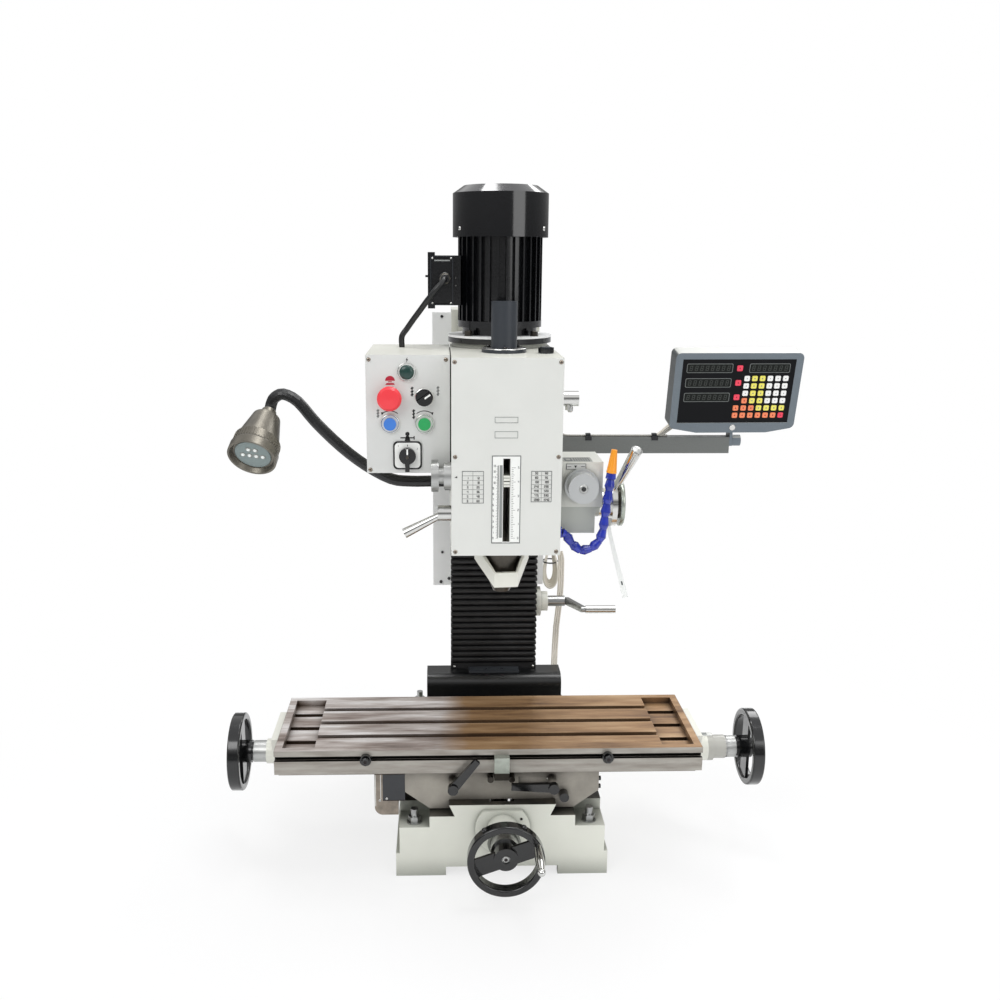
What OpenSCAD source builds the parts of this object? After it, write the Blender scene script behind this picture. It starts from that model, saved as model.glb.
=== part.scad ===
// Geared-head mill drill with a dovetail column, a compound table and a readout on a swing arm.
// Millimetres, +Z up. The origin is on the floor plane, straight under the spindle.
// +X is the operator's right and -Y faces the operator.

/* [Base] */
// Width of the base over its deck
base_w = 390; // [380:2:420]
// Distance from the spindle line forward to the base front
base_front = 120; // [112:1:130]
// Distance from the spindle line back to the base rear
base_back = 470; // [462:2:520]
// Height of the deck above the floor
deck_z = 124; // [118:1:130]
// Height of the cross-feed dovetail above the deck
way_h = 23; // [20:1:26]
// Width over the top of the cross-feed dovetail
way_top_w = 202; // [196:1:208]
// Width at the root of the cross-feed dovetail
way_root_w = 181; // [176:1:186]
// Width of each corner pocket beside the base front
pocket_w = 57; // [53:1:62]
// Thickness of the casting walls
wall = 14; // [11:0.5:16]

/* [Column] */
// Distance from the spindle line back to the column's way face
col_front = 272; // [268:1:280]
// Width of the column
col_w = 184; // [176:1:190]
// Depth of the column's box section
col_d = 140; // [120:1:150]
// Height of the column top above the floor
col_top = 1046; // [1020:2:1080]

/* [Saddle and table] */
// Length of the table
table_l = 800; // [780:5:820]
// Width of the table
table_d = 240; // [234:2:244]
// Thickness of the table's edge
table_t = 47; // [45:1:50]
// Height of the table top above the floor
table_top = 261; // [259:1:266]
// Width of a T-slot's throat
tslot_w = 14; // [12:1:16]
// Spacing of the three T-slots
tslot_pitch = 60; // [52:1:64]
// Width of the saddle across the machine
saddle_w = 368; // [356:2:376]
// Depth of the saddle along the cross feed
saddle_d = 196; // [190:1:200]
// Diameter of the two long-feed handwheels
x_wheel_d = 150; // [140:1:156]
// Diameter of the cross-feed handwheel
y_wheel_d = 140; // [130:1:148]

/* [Head] */
// Width of the head
head_w = 193; // [188:1:198]
// Height of the head
head_h = 349; // [344:1:356]
// Height of the head's underside above the floor
head_z = 636; // [620:2:650]
// Diameter of the quill
quill_d = 75; // [70:1:78]
// Diameter of the motor's flange
motor_flange_d = 200; // [194:1:204]
// Diameter of the motor over its cooling fins
motor_d = 162; // [156:1:166]
// Diameter of the motor's fan cowl
cowl_d = 182; // [176:1:186]
// Width of the control box
box_w = 148; // [140:1:152]
// Height of the control box
box_h = 210; // [204:1:216]
// Depth of the control box
box_d = 230; // [216:2:240]

/* [Readout] */
// Width of the readout's housing
dro_w = 272; // [262:1:280]
// Height of the readout's housing
dro_h = 168; // [160:1:176]
// Thickness of the readout's housing
dro_t = 42; // [38:1:48]
// Length of the readout's swing arm from its pivot
arm_l = 390; // [380:1:400]

/* [Hidden] */
$fn = 48;

// Clearances
cut = 1;
slide_gap = 0.2;
run_gap = 0.05;
seat_gap = 0.15;

// Base details
flange_out = 7;
flange_h = 48;
flange_w = base_w + 2 * flange_out;
way_z = deck_z + way_h;
pocket_d = 62;
pocket_drop = 22;
pocket_z = deck_z - pocket_drop;
relief_h = 18;
relief_w = 214;
screw_slot_w = 46;
screw_slot_drop = 52;
rib_t = 16;
pad_w = 250;
pad_front = col_front - 12;
pad_back = base_back - flange_out;
y_axis_z = deck_z - 23;
y_boss_d = 104;
y_boss_out = 8;
y_boss_top_drop = 9;
bearing_d = 62;
bearing_out = 48;
stud_d = 14;
stud_hole_d = 18;
nose_w = base_w - 2 * pocket_w;
stud_side = 28;
stud_x = base_w / 2 - stud_side;
stud_inset = 22;
stud_top = 28;
stud_y_front = -base_front + stud_inset;
stud_y_back = base_back - stud_inset;
nut_af = 21;
nut_h = 11;
washer_d = 28;
washer_t = 2.5;

// Cross-feed screw and handwheel
y_screw_d = 22;
y_screw_back = 170;
y_dial_d = 52;
y_dial_l = 27;
y_dial_front = base_front + y_boss_out + bearing_out;
y_hub_d = 44;
wheel_rim_t = 23;
wheel_rim_w = 13;
wheel_web_t = 9;
wheel_spoke_w = 34;
wheel_hub_l = 14;
y_spoke_tilt = 20;
y_wheel_back = y_dial_front + y_dial_l + seat_gap + wheel_hub_l;
y_grip_angle = 30;
grip_d = 16;
grip_l = 86;
grip_pin_d = 8;
grip_ball_d = 14;
grip_seat_r = y_wheel_d / 2 - wheel_rim_w / 2 - 2 * run_gap;

// Column details
col_body_y = col_front + 26;
col_back = col_body_y + col_d;
col_wall = 16;
col_neck_w = 124;
col_tail_w = 156;
col_screw_slot_w = 52;
col_screw_slot_d = 64;
col_foot_w = pad_w - 10;
col_foot_h = 24;
col_foot_back = col_back + 16;
col_bolt_d = 12;
z_axis_y = col_front + 40;
z_screw_d = 24;
z_screw_bottom = way_z + seat_gap;
z_screw_top = col_top - 24;
bevel_in = 14;
bevel_out = 24;
bevel_gap = 0.3;
crank_z = 404;
crank_shaft_d = 16;
crank_bracket_d = 66;
crank_bracket_l = 14;
crank_neck_d = 44;
crank_neck_l = 16;
cover_w = 40;
cover_t = 6;
cover_h = 596;
cover_top = col_top - 6;
channel_w = 18;
channel_d = 34;
channel_bottom = 448;
channel_top = 728;

// Bellows, apron and clamp bar
bellows_w = 188;
bellows_fold = 18;
bellows_count = 28;
bellows_skin = 2;
bellows_band = 12;
apron_w = 292;
apron_t = 4;
apron_top = 268;
apron_r = 24;
apron_front = 209;
apron_low = 152;
bellows_bottom = apron_top + seat_gap;
clamp_w = 110;
clamp_d = 26;
clamp_t = 4;
clamp_hole_d = 8;
clamp_hole_pitch = 34;

// Saddle details
table_x = -25.5;
table_z = table_top - table_t;
saddle_top = table_z - slide_gap;
saddle_side_h = 50;
saddle_foot_w = 274;
saddle_foot_gap = 5;
x_tail_root_w = 128;
x_tail_w = 150;
x_tail_h = 25;
x_axis_drop = 58.6;
x_axis_z = table_top - x_axis_drop;
x_slot_w = 40;
x_slot_rise = 12;
nut_block_w = 34;
y_nut_l = 34;
stop_w = 28;
stop_x = -3;
stop_h = 36;
stop_t = 14;
stop_pin_d = 12;
stop_pin_pitch = 36;
lever_out = 33;
lever_pivot_d = 16;
lever_t = 8;
lever_l = 72;
lock_x = 94;
lock_drop = 24;
lock_z = saddle_top - lock_drop;
gib_knob_x = 117;
gib_knob_d = 18;
gib_knob_drop = 56;
gib_knob_z = saddle_top - gib_knob_drop;
gib_slot_w = 70;
gib_slot_h = 17;
gib_slot_drop = 5;
gib_slot_d = 6;
gib_slot_x = 66;
side_cover_out = 58;
side_cover_t = 12;
side_cover_drop = 13;
side_cover_h = 84;
side_cover_top = saddle_top - side_cover_drop;
side_cover_low = side_cover_top - side_cover_h;
side_cover_r = 16;
side_box_drop = 31;
side_box_top = side_cover_top - side_box_drop;
side_box_out = 44;
side_box_step = 13;

// Table details
tslot_depth = 22;
tslot_foot_w = 24;
tslot_foot_h = 9;
trough_l = 60;
trough_edge = 14;
trough_depth = 12;
dog_slot_h = 10;
dog_slot_d = 12;
dog_slot_drop = 16;
dog_slot_z = table_top - dog_slot_drop;
dog_foot_h = 16;
dog_foot_t = 5;
dog_head_d = 21;
dog_head_l = 9;
left_dog_x = -255.5;
right_dog_x = 195;
x_screw_d = 22;
end_plate_t = 14;
end_plate_w = 124;
end_plate_top = 5;
end_plate_h = 84;
end_plate_foot_w = 66;
left_neck_d = 48;
left_neck_l = 18;
right_neck_d = 54;
right_neck_l = 35;
right_bearing_d = 46;
right_bearing_l = 25;
x_dial_d = 42;
left_dial_l = 25;
right_dial_l = 21;
x_hub_d = 36;
x_hub_l = 18;
table_left = table_x - table_l / 2;
table_right = table_x + table_l / 2;
left_dial_x = table_left - end_plate_t - left_neck_l;
right_dial_x = table_right + end_plate_t + right_neck_l + right_bearing_l;
left_wheel_x = left_dial_x - left_dial_l - x_hub_l;
right_wheel_x = right_dial_x + right_dial_l + x_hub_l;

// Crank
crank_hub_d = 17;
crank_hub_l = 48;
crank_arm_l = 100;
crank_arm_t = 9;
crank_arm_w = 16;
crank_arm_out = 24;
crank_arm_tilt = 8;
crank_grip_d = 17;
crank_grip_l = 64;

// Head details
head_top = head_z + head_h;
head_front = -116;
head_back = 224;
head_mid_z = head_z + head_h / 2;
plate_t = 4;
plate_slot_w = 12;
plate_slot_h = 150;
plate_slot_z = head_z + 25;
slot_depth = 30;
bore_gap_d = quill_d + 2 * run_gap;
drawbar_bore_d = 52;
tilt_disc_d = 170;
tilt_disc_t = 4;
tilt_pin_d = 50;
tilt_pin_l = 20;
carriage_w = 182;
carriage_h = 294;
carriage_z = head_mid_z - carriage_h / 2;
carriage_front = head_back + tilt_disc_t;
carriage_back = col_body_y - slide_gap;
pinion_bore_d = 24;
motor_y = 150;
pad_h = 8;
flange_t = 14;
motor_pad_z = head_top + pad_h;
bell_h = 24;
fin_count = 30;
fin_t = 3.2;
fin_depth = 9;
motor_body_z = motor_pad_z + flange_t + bell_h;
motor_body_h = 160;
cowl_z = 1189;
cowl_h = 94;
cowl_bevel = 14;
cowl_skin = 2.5;
cowl_top_d = 141;
grille_count = 9;
grille_w = 4;
rotor_shaft_d = 24;
fan_d = 150;
fan_h = 30;
fan_blades = 8;
fan_blade_t = 3;
cap_d = 47;
cap_flange_d = 81;
cap_flange_h = 6;
cap_h = 84;
oil_d = 27;
oil_h = 11;
oil_x = 74;
oil_y = -24;
term_w = 58;
term_h = 92;
term_d = 84;
term_z = 1063;
gland_x = -106;
term_lug = 12;
gland_d = 26;
gland_l = 14;
cable_d = 11;

// Control box details
box_x = -head_w / 2 - 2;
box_front = -64;
box_z = 775;
panel_t = 2;
panel_front = box_front - panel_t;
button_x_share = 0.285;
selector_x_share = 0.695;
row1_share = 0.645;
row2_share = 0.425;
cam_x_share = 0.49;
cam_z_share = 0.155;
lamp_z_share = 0.86;
estop_d = 43;
button_d = 29;
bezel_d = 34;
stem_d = 22;
button_travel = 5;
estop_travel = 6;
selector_d = 27;
cam_d = 30;
cam_plate_w = 49;

// Lamp
neck_d = 22;
neck_points = [
    [-96.5, 60, 733], [-136, 60, 733], [-175, 60, 733], [-211, 60, 738], [-258, 60, 764],
    [-304, 60, 800], [-350, 60, 846], [-383, 60, 886], [-410, 62, 900], [-427, 65, 893],
    [-433.5, 67, 882], [-435.6, 64.2, 872.9], [-437, 58, 868]
];
lamp_axis = [-0.17, -0.77, -0.61];
lamp_seat = 1;
lamp_l = 116;
lamp_neck_d = 28;
lamp_shoulder_d = 53;
lamp_ring_d = 86;
lamp_face_d = 91;
lamp_lip = 4;
lamp_recess = 8;

// Left and right controls
feed_y = -96;
feed_dial_rise = 140;
feed_dial_z = head_z + feed_dial_rise;
feed_dial_d = 56;
feed_ring_d = 48;
feed_dial_l = 35;
feed_dial_t = 13;
lever_y = -92;
feed_lever_rise = 71;
feed_lever_z = head_z + feed_lever_rise;
feed_lever_d = 28;
feed_lever_l = 24;
feed_shaft_d = 14;
feed_tip = [-180, -92, 670];
speed_y = -60;
speed_rise = 272;
speed_z = head_z + speed_rise;
speed_d = 27;
speed_l = 33;
speed_nub_d = 10;
fbox_w = 82;
fbox_front = -60;
fbox_back = 44;
fbox_z = 710;
fbox_h = 83;
fbox_r = 8;
lower_w = 70;
lower_h = 50;
lower_front = -56;
lower_back = 30;
feed_knob_x = 139;
feed_knob_z = 751;
feed_knob_ring_d = 62;
feed_knob_d = 54;
feed_knob_l = 36;
hub_y = -8;
hub_z = 706;
hub_neck_d = 52;
hub_disc_d = 88;
hub_disc_t = 9;
hub_x = head_w / 2 + fbox_w;
hub_neck_l = 22;
hub_shaft_d = 22;
hub_shaft_in = 34;
hub_lever_r = 32;
hub_lever_end_r = 139;
hub_lever_out = 28;
hub_lever_angle = 35;
hub_rod_d = 13;
hub_rod_end_d = 21;

// Coolant hose
hose_d = 19;
hose_neck_d = 13;
hose_points = [
    [101, -80, 668], [111, -80, 664], [122, -80, 647], [138, -80, 633], [158, -80, 637],
    [173, -80, 652], [179, -80, 673], [181, -80, 697], [184, -80, 721], [187, -80, 745],
    [189, -80, 767]
];
hose_links_per_step = 1;
nozzle_d = 19;
nozzle_tip_d = 8;
nozzle_tip = [194, -80, 819];

// Quill and spindle
quill_z = 575;
quill_l = 330;
collar_turn = 5.5;
collar_ring_d = 96;
collar_ring_h = 16;
collar_z = 556;
collar_band = 28;
collar_front_w = 44;
collar_side_w = 103;
collar_front = -56;
collar_t = 7;
collar_side_y = 4;
collar_rise = 40;
pointer_w = 11;
pointer_h = 20;
pointer_z = 761;
nose_d = 46;
nose_tip_d = 32;
nose_z = 534;
nose_cone = 18;
taper_d = 23.8;
taper_small_d = 20;
taper_l = 80;
drawbar_d = 16;
spindle_d = 40;
spindle_top = head_top - 12;

// Readout
pivot_x = 118;
pivot_y = 315;
pivot_d = 18;
arm_z = 742;
arm_h = 35;
arm_t = 30;
bracket_h = 60;
bracket_drop = 12;
dro_center = [509, 275, 879];
dro_pitch = 12;
dro_yaw = 2;
dro_r = 12;
dro_bow = 9;
dro_bezel = 15;
dro_face_w = 241;
dro_face_h = 141;
dro_face_inset = 3;
dro_face_t = 2;
key_w = 9.5;
key_h = 1;
tilt_rise = 26;
tilt_z = arm_z + tilt_rise;
tilt_shaft_d = 10;
tilt_plate_t = 6;
tilt_plate_w = 44;
tilt_knob_d = 24;
tilt_knob_l = 20;

// Cables
white_d = 4.6;
arm_cable_points = [
    [121, 315, 791.6], [128, 314, 791.6], [135, 313, 791.6], [142, 311, 786.5],
    [149, 309, 781.5], [159, 308, 779.7], [190, 308, 779.6], [240, 308, 779.6],
    [290, 308, 779.6], [335, 308, 779.6], [356, 308, 779.6], [374, 308, 779.6]
];
lead_points = [
    [115, 315, 791.6], [109, 319, 791.6], [101, 327, 791.6], [97, 331.5, 791.4],
    [95, 334.6, 788], [94.6, 335, 774], [94.6, 335, 730], [94.6, 335, 680], [94.6, 335, 630],
    [95, 336, 585], [99, 336, 556], [108, 336, 533], [119, 336, 519.5]
];
tail_points = [
    [141, 363, 514], [149, 363.5, 504], [153, 362, 486], [153, 358, 460], [152, 352, 430],
    [150, 346, 400], [146, 338, 370], [141, 326, 335], [137, 306, 300], [134, 289, 265],
    [132, 277, 225], [131, 270, 180], [130, 268, 138], [130, 268, 124.2]
];
hank_loops = 5;
hank_steps = 24;
hank_x = 131;
hank_y = 336;
hank_z = 470;
hank_w = 42;
hank_h = 92;
hank_pitch = 5.4;
hank_pinch_share = 0.45;
hank_narrowing = 0.1;
hank_lift = 0.06;
motor_cable_points = [
    [-106, 93.8, 1113], [-106, 82, 1113], [-112, 74, 1105], [-124, 72, 1092], [-140, 78, 1072],
    [-154, 88, 1053], [-166, 96, 1037], [-178, 100, 1020], [-188, 100, 1005],
    [-188, 100, 985.2]
];

// Basic shapes placed by their limits
module block(x0, x1, y0, y1, z0, z1) {
    translate([x0, y0, z0])
        cube([x1 - x0, y1 - y0, z1 - z0]);
}
module rod_x(d, x0, x1, y, z) {
    translate([x0, y, z])
        rotate([0, 90, 0])
            cylinder(d = d, h = x1 - x0);
}
module rod_y(d, y0, y1, x, z) {
    translate([x, y0, z])
        rotate([-90, 0, 0])
            cylinder(d = d, h = y1 - y0);
}
module rod_z(d, z0, z1, x, y) {
    translate([x, y, z0])
        cylinder(d = d, h = z1 - z0);
}
module cone_between(p, q, d0, d1) {
    v = q - p;
    l = norm(v);
    translate(p)
        rotate([0, acos(v[2] / l), atan2(v[1], v[0])])
            cylinder(d1 = d0, d2 = d1, h = l);
}
module both_sides() {
    children();
    mirror([1, 0, 0])
        children();
}
// An outline in Y and Z, drawn out along X about the centre plane
module along_x(w, x = 0) {
    translate([x - w / 2, 0, 0])
        rotate([90, 0, 90])
            linear_extrude(w)
                children();
}
// An outline in X and Z, drawn out from y0 to y1
module along_y(y0, y1) {
    translate([0, y1, 0])
        rotate([90, 0, 0])
            linear_extrude(y1 - y0)
                children();
}
// A rectangle with its corners rounded
module round_rect(w, h, r) {
    square([w - 2 * r, h], center = true);
    square([w, h - 2 * r], center = true);
    for (x = [-w / 2 + r, w / 2 - r], y = [-h / 2 + r, h / 2 - r])
        translate([x, y])
            circle(r = r);
}

// A smooth curve through hand-chosen points, and a tube along it
function curve_at(p, i, t) =
    let(
        a = p[max(i - 1, 0)], b = p[i], c = p[i + 1], d = p[min(i + 2, len(p) - 1)]
    )
    0.5 * (2 * b + (c - a) * t + (2 * a - 5 * b + 4 * c - d) * t * t
        + (3 * b - a - 3 * c + d) * t * t * t);
function curve(p, steps) = concat(
    [for (i = [0:len(p) - 2], k = [0:steps - 1]) curve_at(p, i, k / steps)],
    [p[len(p) - 1]]
);
function unit(v) = v / norm(v);
function heading(p, i) = unit(p[min(i + 1, len(p) - 1)] - p[max(i - 1, 0)]);
function carried(n, t) = unit(n - (n * t) * t);
function frames(p, n, i = 0) = i == len(p) ? [] :
    let(t = heading(p, i), m = carried(n, t))
    concat([[m, cross(t, m)]], frames(p, m, i + 1));
module tube(p, d, sides, up = [0, 1, 0]) {
    f = frames(p, up);
    n = len(p);
    ring = [for (i = [0:n - 1], k = [0:sides - 1])
        p[i] + (f[i][0] * cos(k * 360 / sides) + f[i][1] * sin(k * 360 / sides)) * d / 2];
    sidefaces = [for (i = [0:n - 2], k = [0:sides - 1], h = [0, 1])
        let(a = i * sides + k, b = i * sides + (k + 1) % sides)
        h == 0 ? [a, b, b + sides] : [a, b + sides, a + sides]];
    capfaces = concat(
        [for (k = [1:sides - 2]) [0, k + 1, k]],
        [for (k = [1:sides - 2]) [(n - 1) * sides, (n - 1) * sides + k, (n - 1) * sides + k + 1]]
    );
    polyhedron(points = ring, faces = [for (q = concat(sidefaces, capfaces)) [q[2], q[1], q[0]]]);
}

// Base group
module corner_pocket(x_side, y_end) {
    scale([x_side, 1, 1])
        if (y_end < 0)
            block(nose_w / 2, base_w, -base_front - cut, -base_front + pocket_d,
                pocket_z, deck_z + cut);
        else
            block(nose_w / 2, base_w, base_back - pocket_d, base_back + cut,
                pocket_z, deck_z + cut);
}
module base_cavity() {
    inner = base_w / 2 - wall;
    low_top = pocket_z - wall;
    front = -base_front + wall;
    back = base_back - wall;
    for (span = [[front, -rib_t / 2], [rib_t / 2, back]])
        block(-inner, inner, span[0], span[1], -cut, low_top);
    block(-nose_w / 2 + wall, nose_w / 2 - wall, front, back, low_top - cut, deck_z - wall);
    block(-inner, inner, front + pocket_d, back - pocket_d, low_top - cut, deck_z - wall);
}
module base_casting() {
    color("#e6e6da")
    difference() {
        union() {
            difference() {
                block(-base_w / 2, base_w / 2, -base_front, base_back, 0, deck_z);
                for (sx = [-1, 1], ey = [-1, 1])
                    mirror([sx < 0 ? 1 : 0, 0, 0])
                        corner_pocket(1, ey);
            }
            block(-flange_w / 2, flange_w / 2, -base_front, base_back, 0, flange_h);
            along_y(-base_front, pad_front + cut)
                polygon([
                    [-way_root_w / 2, deck_z - cut], [-way_root_w / 2, deck_z],
                    [-way_top_w / 2, way_z], [way_top_w / 2, way_z],
                    [way_root_w / 2, deck_z], [way_root_w / 2, deck_z - cut]
                ]);
            block(-pad_w / 2, pad_w / 2, pad_front, pad_back, deck_z - cut, way_z);
            intersection() {
                rod_y(y_boss_d, -base_front - y_boss_out, -base_front + cut, 0, y_axis_z);
                block(-base_w, base_w, -base_front - y_boss_out - cut, 0, 0,
                    way_z - y_boss_top_drop);
            }
            rod_y(bearing_d, -y_dial_front, -base_front, 0, y_axis_z);
            block(-base_w / 2 + cut, base_w / 2 - cut, -rib_t / 2, rib_t / 2, 0, pocket_z);
        }
        base_cavity();
        block(-screw_slot_w / 2, screw_slot_w / 2, -base_front + wall, pad_front - wall,
            way_z - screw_slot_drop - way_h, way_z + cut);
        rod_y(y_screw_d + 2 * run_gap, -y_dial_front - cut, -base_front + wall + cut,
            0, y_axis_z);
        for (y = [-base_front - cut, base_back - wall - cut])
            block(-relief_w / 2, relief_w / 2, y, y + wall + 2 * cut, -cut, relief_h);
        for (x = [-stud_x, stud_x], y = [stud_y_front, stud_y_back])
            rod_z(stud_hole_d, pocket_z - wall - cut, pocket_z + cut, x, y);
    }
}
module hold_down_studs() {
    color("#b9b9b4")
    for (x = [-stud_x, stud_x], y = [stud_y_front, stud_y_back])
        translate([x, y, pocket_z]) {
            translate([0, 0, -pocket_z])
                cylinder(d = stud_d, h = pocket_z + stud_top);
            cylinder(d = washer_d, h = washer_t);
            translate([0, 0, washer_t - cut / 10])
                cylinder(d = nut_af / cos(30), h = nut_h, $fn = 6);
        }
}
module dovetail_column_outline() {
    polygon([
        [-col_w / 2, col_back], [-col_w / 2, col_body_y], [-col_neck_w / 2, col_body_y],
        [-col_tail_w / 2, col_front], [-col_screw_slot_w / 2, col_front],
        [-col_screw_slot_w / 2, col_front + col_screw_slot_d],
        [col_screw_slot_w / 2, col_front + col_screw_slot_d],
        [col_screw_slot_w / 2, col_front], [col_tail_w / 2, col_front],
        [col_neck_w / 2, col_body_y], [col_w / 2, col_body_y], [col_w / 2, col_back]
    ]);
}
module column() {
    slot_back = col_front + col_screw_slot_d;
    color("#e9e9e0")
    difference() {
        union() {
            translate([0, 0, way_z])
                linear_extrude(col_top - way_z)
                    dovetail_column_outline();
            difference() {
                block(-col_foot_w / 2, col_foot_w / 2, pad_front + cut, col_foot_back,
                    way_z, way_z + col_foot_h);
                block(-col_screw_slot_w / 2, col_screw_slot_w / 2, 0, slot_back,
                    way_z - cut, col_top);
            }
        }
        block(-col_w / 2 + col_wall, col_w / 2 - col_wall, slot_back + col_wall,
            col_back - col_wall, way_z - cut, col_top - col_wall);
        rod_x(crank_shaft_d + 2 * run_gap, 0, col_w, z_axis_y, crank_z);
        for (x = [-1, 1], y = [pad_front + 2 * col_bolt_d, col_foot_back - col_bolt_d])
            rod_z(col_bolt_d, way_z - cut, way_z + col_foot_h + cut,
                x * (col_foot_w / 2 - col_bolt_d), y);
    }
    for (x = [-1, 1], y = [pad_front + 2 * col_bolt_d, col_foot_back - col_bolt_d])
        translate([x * (col_foot_w / 2 - col_bolt_d), y, way_z])
            column_bolt();
}
module column_bolt() {
    color("#2c2c2e") {
        cylinder(d = col_bolt_d - 4 * run_gap, h = col_foot_h + cut / 10);
        translate([0, 0, col_foot_h])
            cylinder(d = col_bolt_d * 1.5, h = col_bolt_d * 0.8);
    }
}
module column_covers() {
    scale_y = col_body_y + cover_w / 4;
    color("#dcdedc")
    translate([-col_w / 2 - cover_w, scale_y, cover_top - cover_h]) {
        cube([cover_w, cover_t / 3, cover_h]);
        cube([cover_t / 3, cover_w / 2, cover_h]);
        translate([cover_w - cover_t / 3, 0, 0])
            cube([cover_t / 3, cover_w / 2, cover_h]);
    }
    color("#9c9e98")
    difference() {
        block(col_w / 2, col_w / 2 + channel_w, col_body_y, col_body_y + channel_d,
            channel_bottom, channel_top);
        block(col_w / 2 - cut, col_w / 2 + channel_w - cover_t / 3, col_body_y + cover_t / 3,
            col_body_y + channel_d - cover_t / 3, channel_bottom - cut, channel_top + cut);
    }
}
module crank_bracket() {
    face = col_w / 2;
    color("#e6e6da")
    difference() {
        union() {
            rod_x(crank_bracket_d, face, face + crank_bracket_l, z_axis_y, crank_z);
            rod_x(crank_neck_d, face, face + crank_bracket_l + crank_neck_l,
                z_axis_y, crank_z);
        }
        rod_x(crank_shaft_d + 2 * run_gap, face - cut,
            face + crank_bracket_l + crank_neck_l + cut, z_axis_y, crank_z);
    }
}
// The pleated cover in front of the ways: a zigzag skin drawn across the column
module bellows() {
    top = carriage_z - seat_gap;
    span = top - bellows_bottom - bellows_band;
    step = span / bellows_count;
    back = col_front - seat_gap;
    outer = [for (i = [0:bellows_count], k = [0, 1])
        [back - (k == 0 ? bellows_fold * 0.45 : bellows_fold),
            min(top, bellows_bottom + bellows_band + (i + k / 2) * step)]];
    color("#26272b")
    along_x(bellows_w)
        polygon(concat(
            [[back, bellows_bottom], [back - bellows_fold * 0.45, bellows_bottom]],
            [for (i = [0:2 * bellows_count]) outer[i]],
            [[back, top]]
        ));
}
// A rubber sheet that leaves the column forwards, rolls over and hangs behind the table
module way_apron() {
    r = apron_r;
    back = col_front - seat_gap;
    mid_y = apron_front + r;
    mid_z = apron_top - r;
    color("#1c1c1e")
    along_x(apron_w) {
        difference() {
            translate([mid_y, mid_z])
                circle(r = r);
            translate([mid_y, mid_z])
                circle(r = r - apron_t);
            translate([mid_y, mid_z - 2 * r])
                square([2 * r, 4 * r]);
            translate([mid_y - 2 * r, mid_z - 2 * r])
                square([4 * r, 2 * r]);
        }
        translate([mid_y - cut / 10, apron_top - apron_t])
            square([back - mid_y + cut / 10, apron_t]);
        translate([apron_front, apron_low])
            square([apron_t, mid_z - apron_low + cut / 10]);
    }
}
module apron_clamp_bar() {
    back = col_front - bellows_fold - slide_gap;
    color("#3a3b3f")
    difference() {
        block(-clamp_w / 2, clamp_w / 2, back - clamp_d, back, apron_top,
            apron_top + clamp_t);
        for (x = [-clamp_hole_pitch / 2, clamp_hole_pitch / 2])
            rod_z(clamp_hole_d, apron_top - cut, apron_top + clamp_t + cut, x,
                back - clamp_d / 2);
    }
}
module readout_bracket() {
    top = arm_z + arm_h + bracket_drop;
    low = arm_z - bracket_drop;
    color("#6a6c6c") {
        for (z = [[low, arm_z - slide_gap], [arm_z + arm_h + slide_gap, top]]) {
            block(col_w / 2, pivot_x, pivot_y - arm_t / 2, pivot_y + arm_t / 2, z[0], z[1]);
            rod_z(arm_t, z[0], z[1], pivot_x, pivot_y);
        }
        block(col_w / 2, col_w / 2 + bracket_drop / 2, pivot_y - arm_t / 2,
            pivot_y + arm_t / 2, low, top);
        rod_z(pivot_d, low, top, pivot_x, pivot_y);
    }
}

// Feed screws and handwheels
module dished_wheel(d, tilt) {
    r = d / 2;
    difference() {
        union() {
            rotate_extrude()
                translate([r - wheel_rim_w / 2, 0])
                    round_rect(wheel_rim_w, wheel_rim_t, wheel_rim_w / 4);
            intersection() {
                rotate([0, 0, tilt])
                    translate([-r, -wheel_spoke_w / 2, wheel_rim_t / 2 - wheel_web_t])
                        cube([d, wheel_spoke_w, wheel_web_t - wheel_rim_w / 4]);
                cylinder(r = r - wheel_rim_w / 2, h = 2 * wheel_rim_t, center = true);
            }
            translate([0, 0, -wheel_rim_t / 2 + wheel_web_t])
                cylinder(d = y_hub_d, h = wheel_rim_t - wheel_web_t + wheel_hub_l);
        }
        translate([0, 0, -wheel_rim_t])
            cylinder(d = y_screw_d * 0.7, h = 3 * wheel_rim_t);
    }
}
module y_screw() {
    wheel_end = y_wheel_back + wheel_rim_t / 2;
    color("#b4b6b6") {
        rod_y(y_screw_d, -y_dial_front, y_screw_back, 0, y_axis_z);
        rod_y(y_screw_d * 0.7, -wheel_end, -y_dial_front, 0, y_axis_z);
        difference() {
            rod_y(y_dial_d, -y_dial_front - y_dial_l, -y_dial_front - seat_gap,
                0, y_axis_z);
            rod_y(y_screw_d * 0.7, -wheel_end, 0, 0, y_axis_z);
        }
    }
}
module y_handwheel() {
    color("#161618")
    difference() {
        translate([0, -y_wheel_back - wheel_rim_t / 2, y_axis_z])
            rotate([-90, 0, 0])
                dished_wheel(y_wheel_d, -y_spoke_tilt);
        y_grip_place()
            cylinder(d = grip_pin_d + 2 * run_gap, h = 4 * wheel_rim_t, center = true);
    }
}
module y_grip_place() {
    translate([grip_seat_r * cos(y_grip_angle), -y_wheel_back - wheel_rim_t,
        y_axis_z + grip_seat_r * sin(y_grip_angle)])
        rotate([90, 0, 0])
            children();
}
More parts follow.
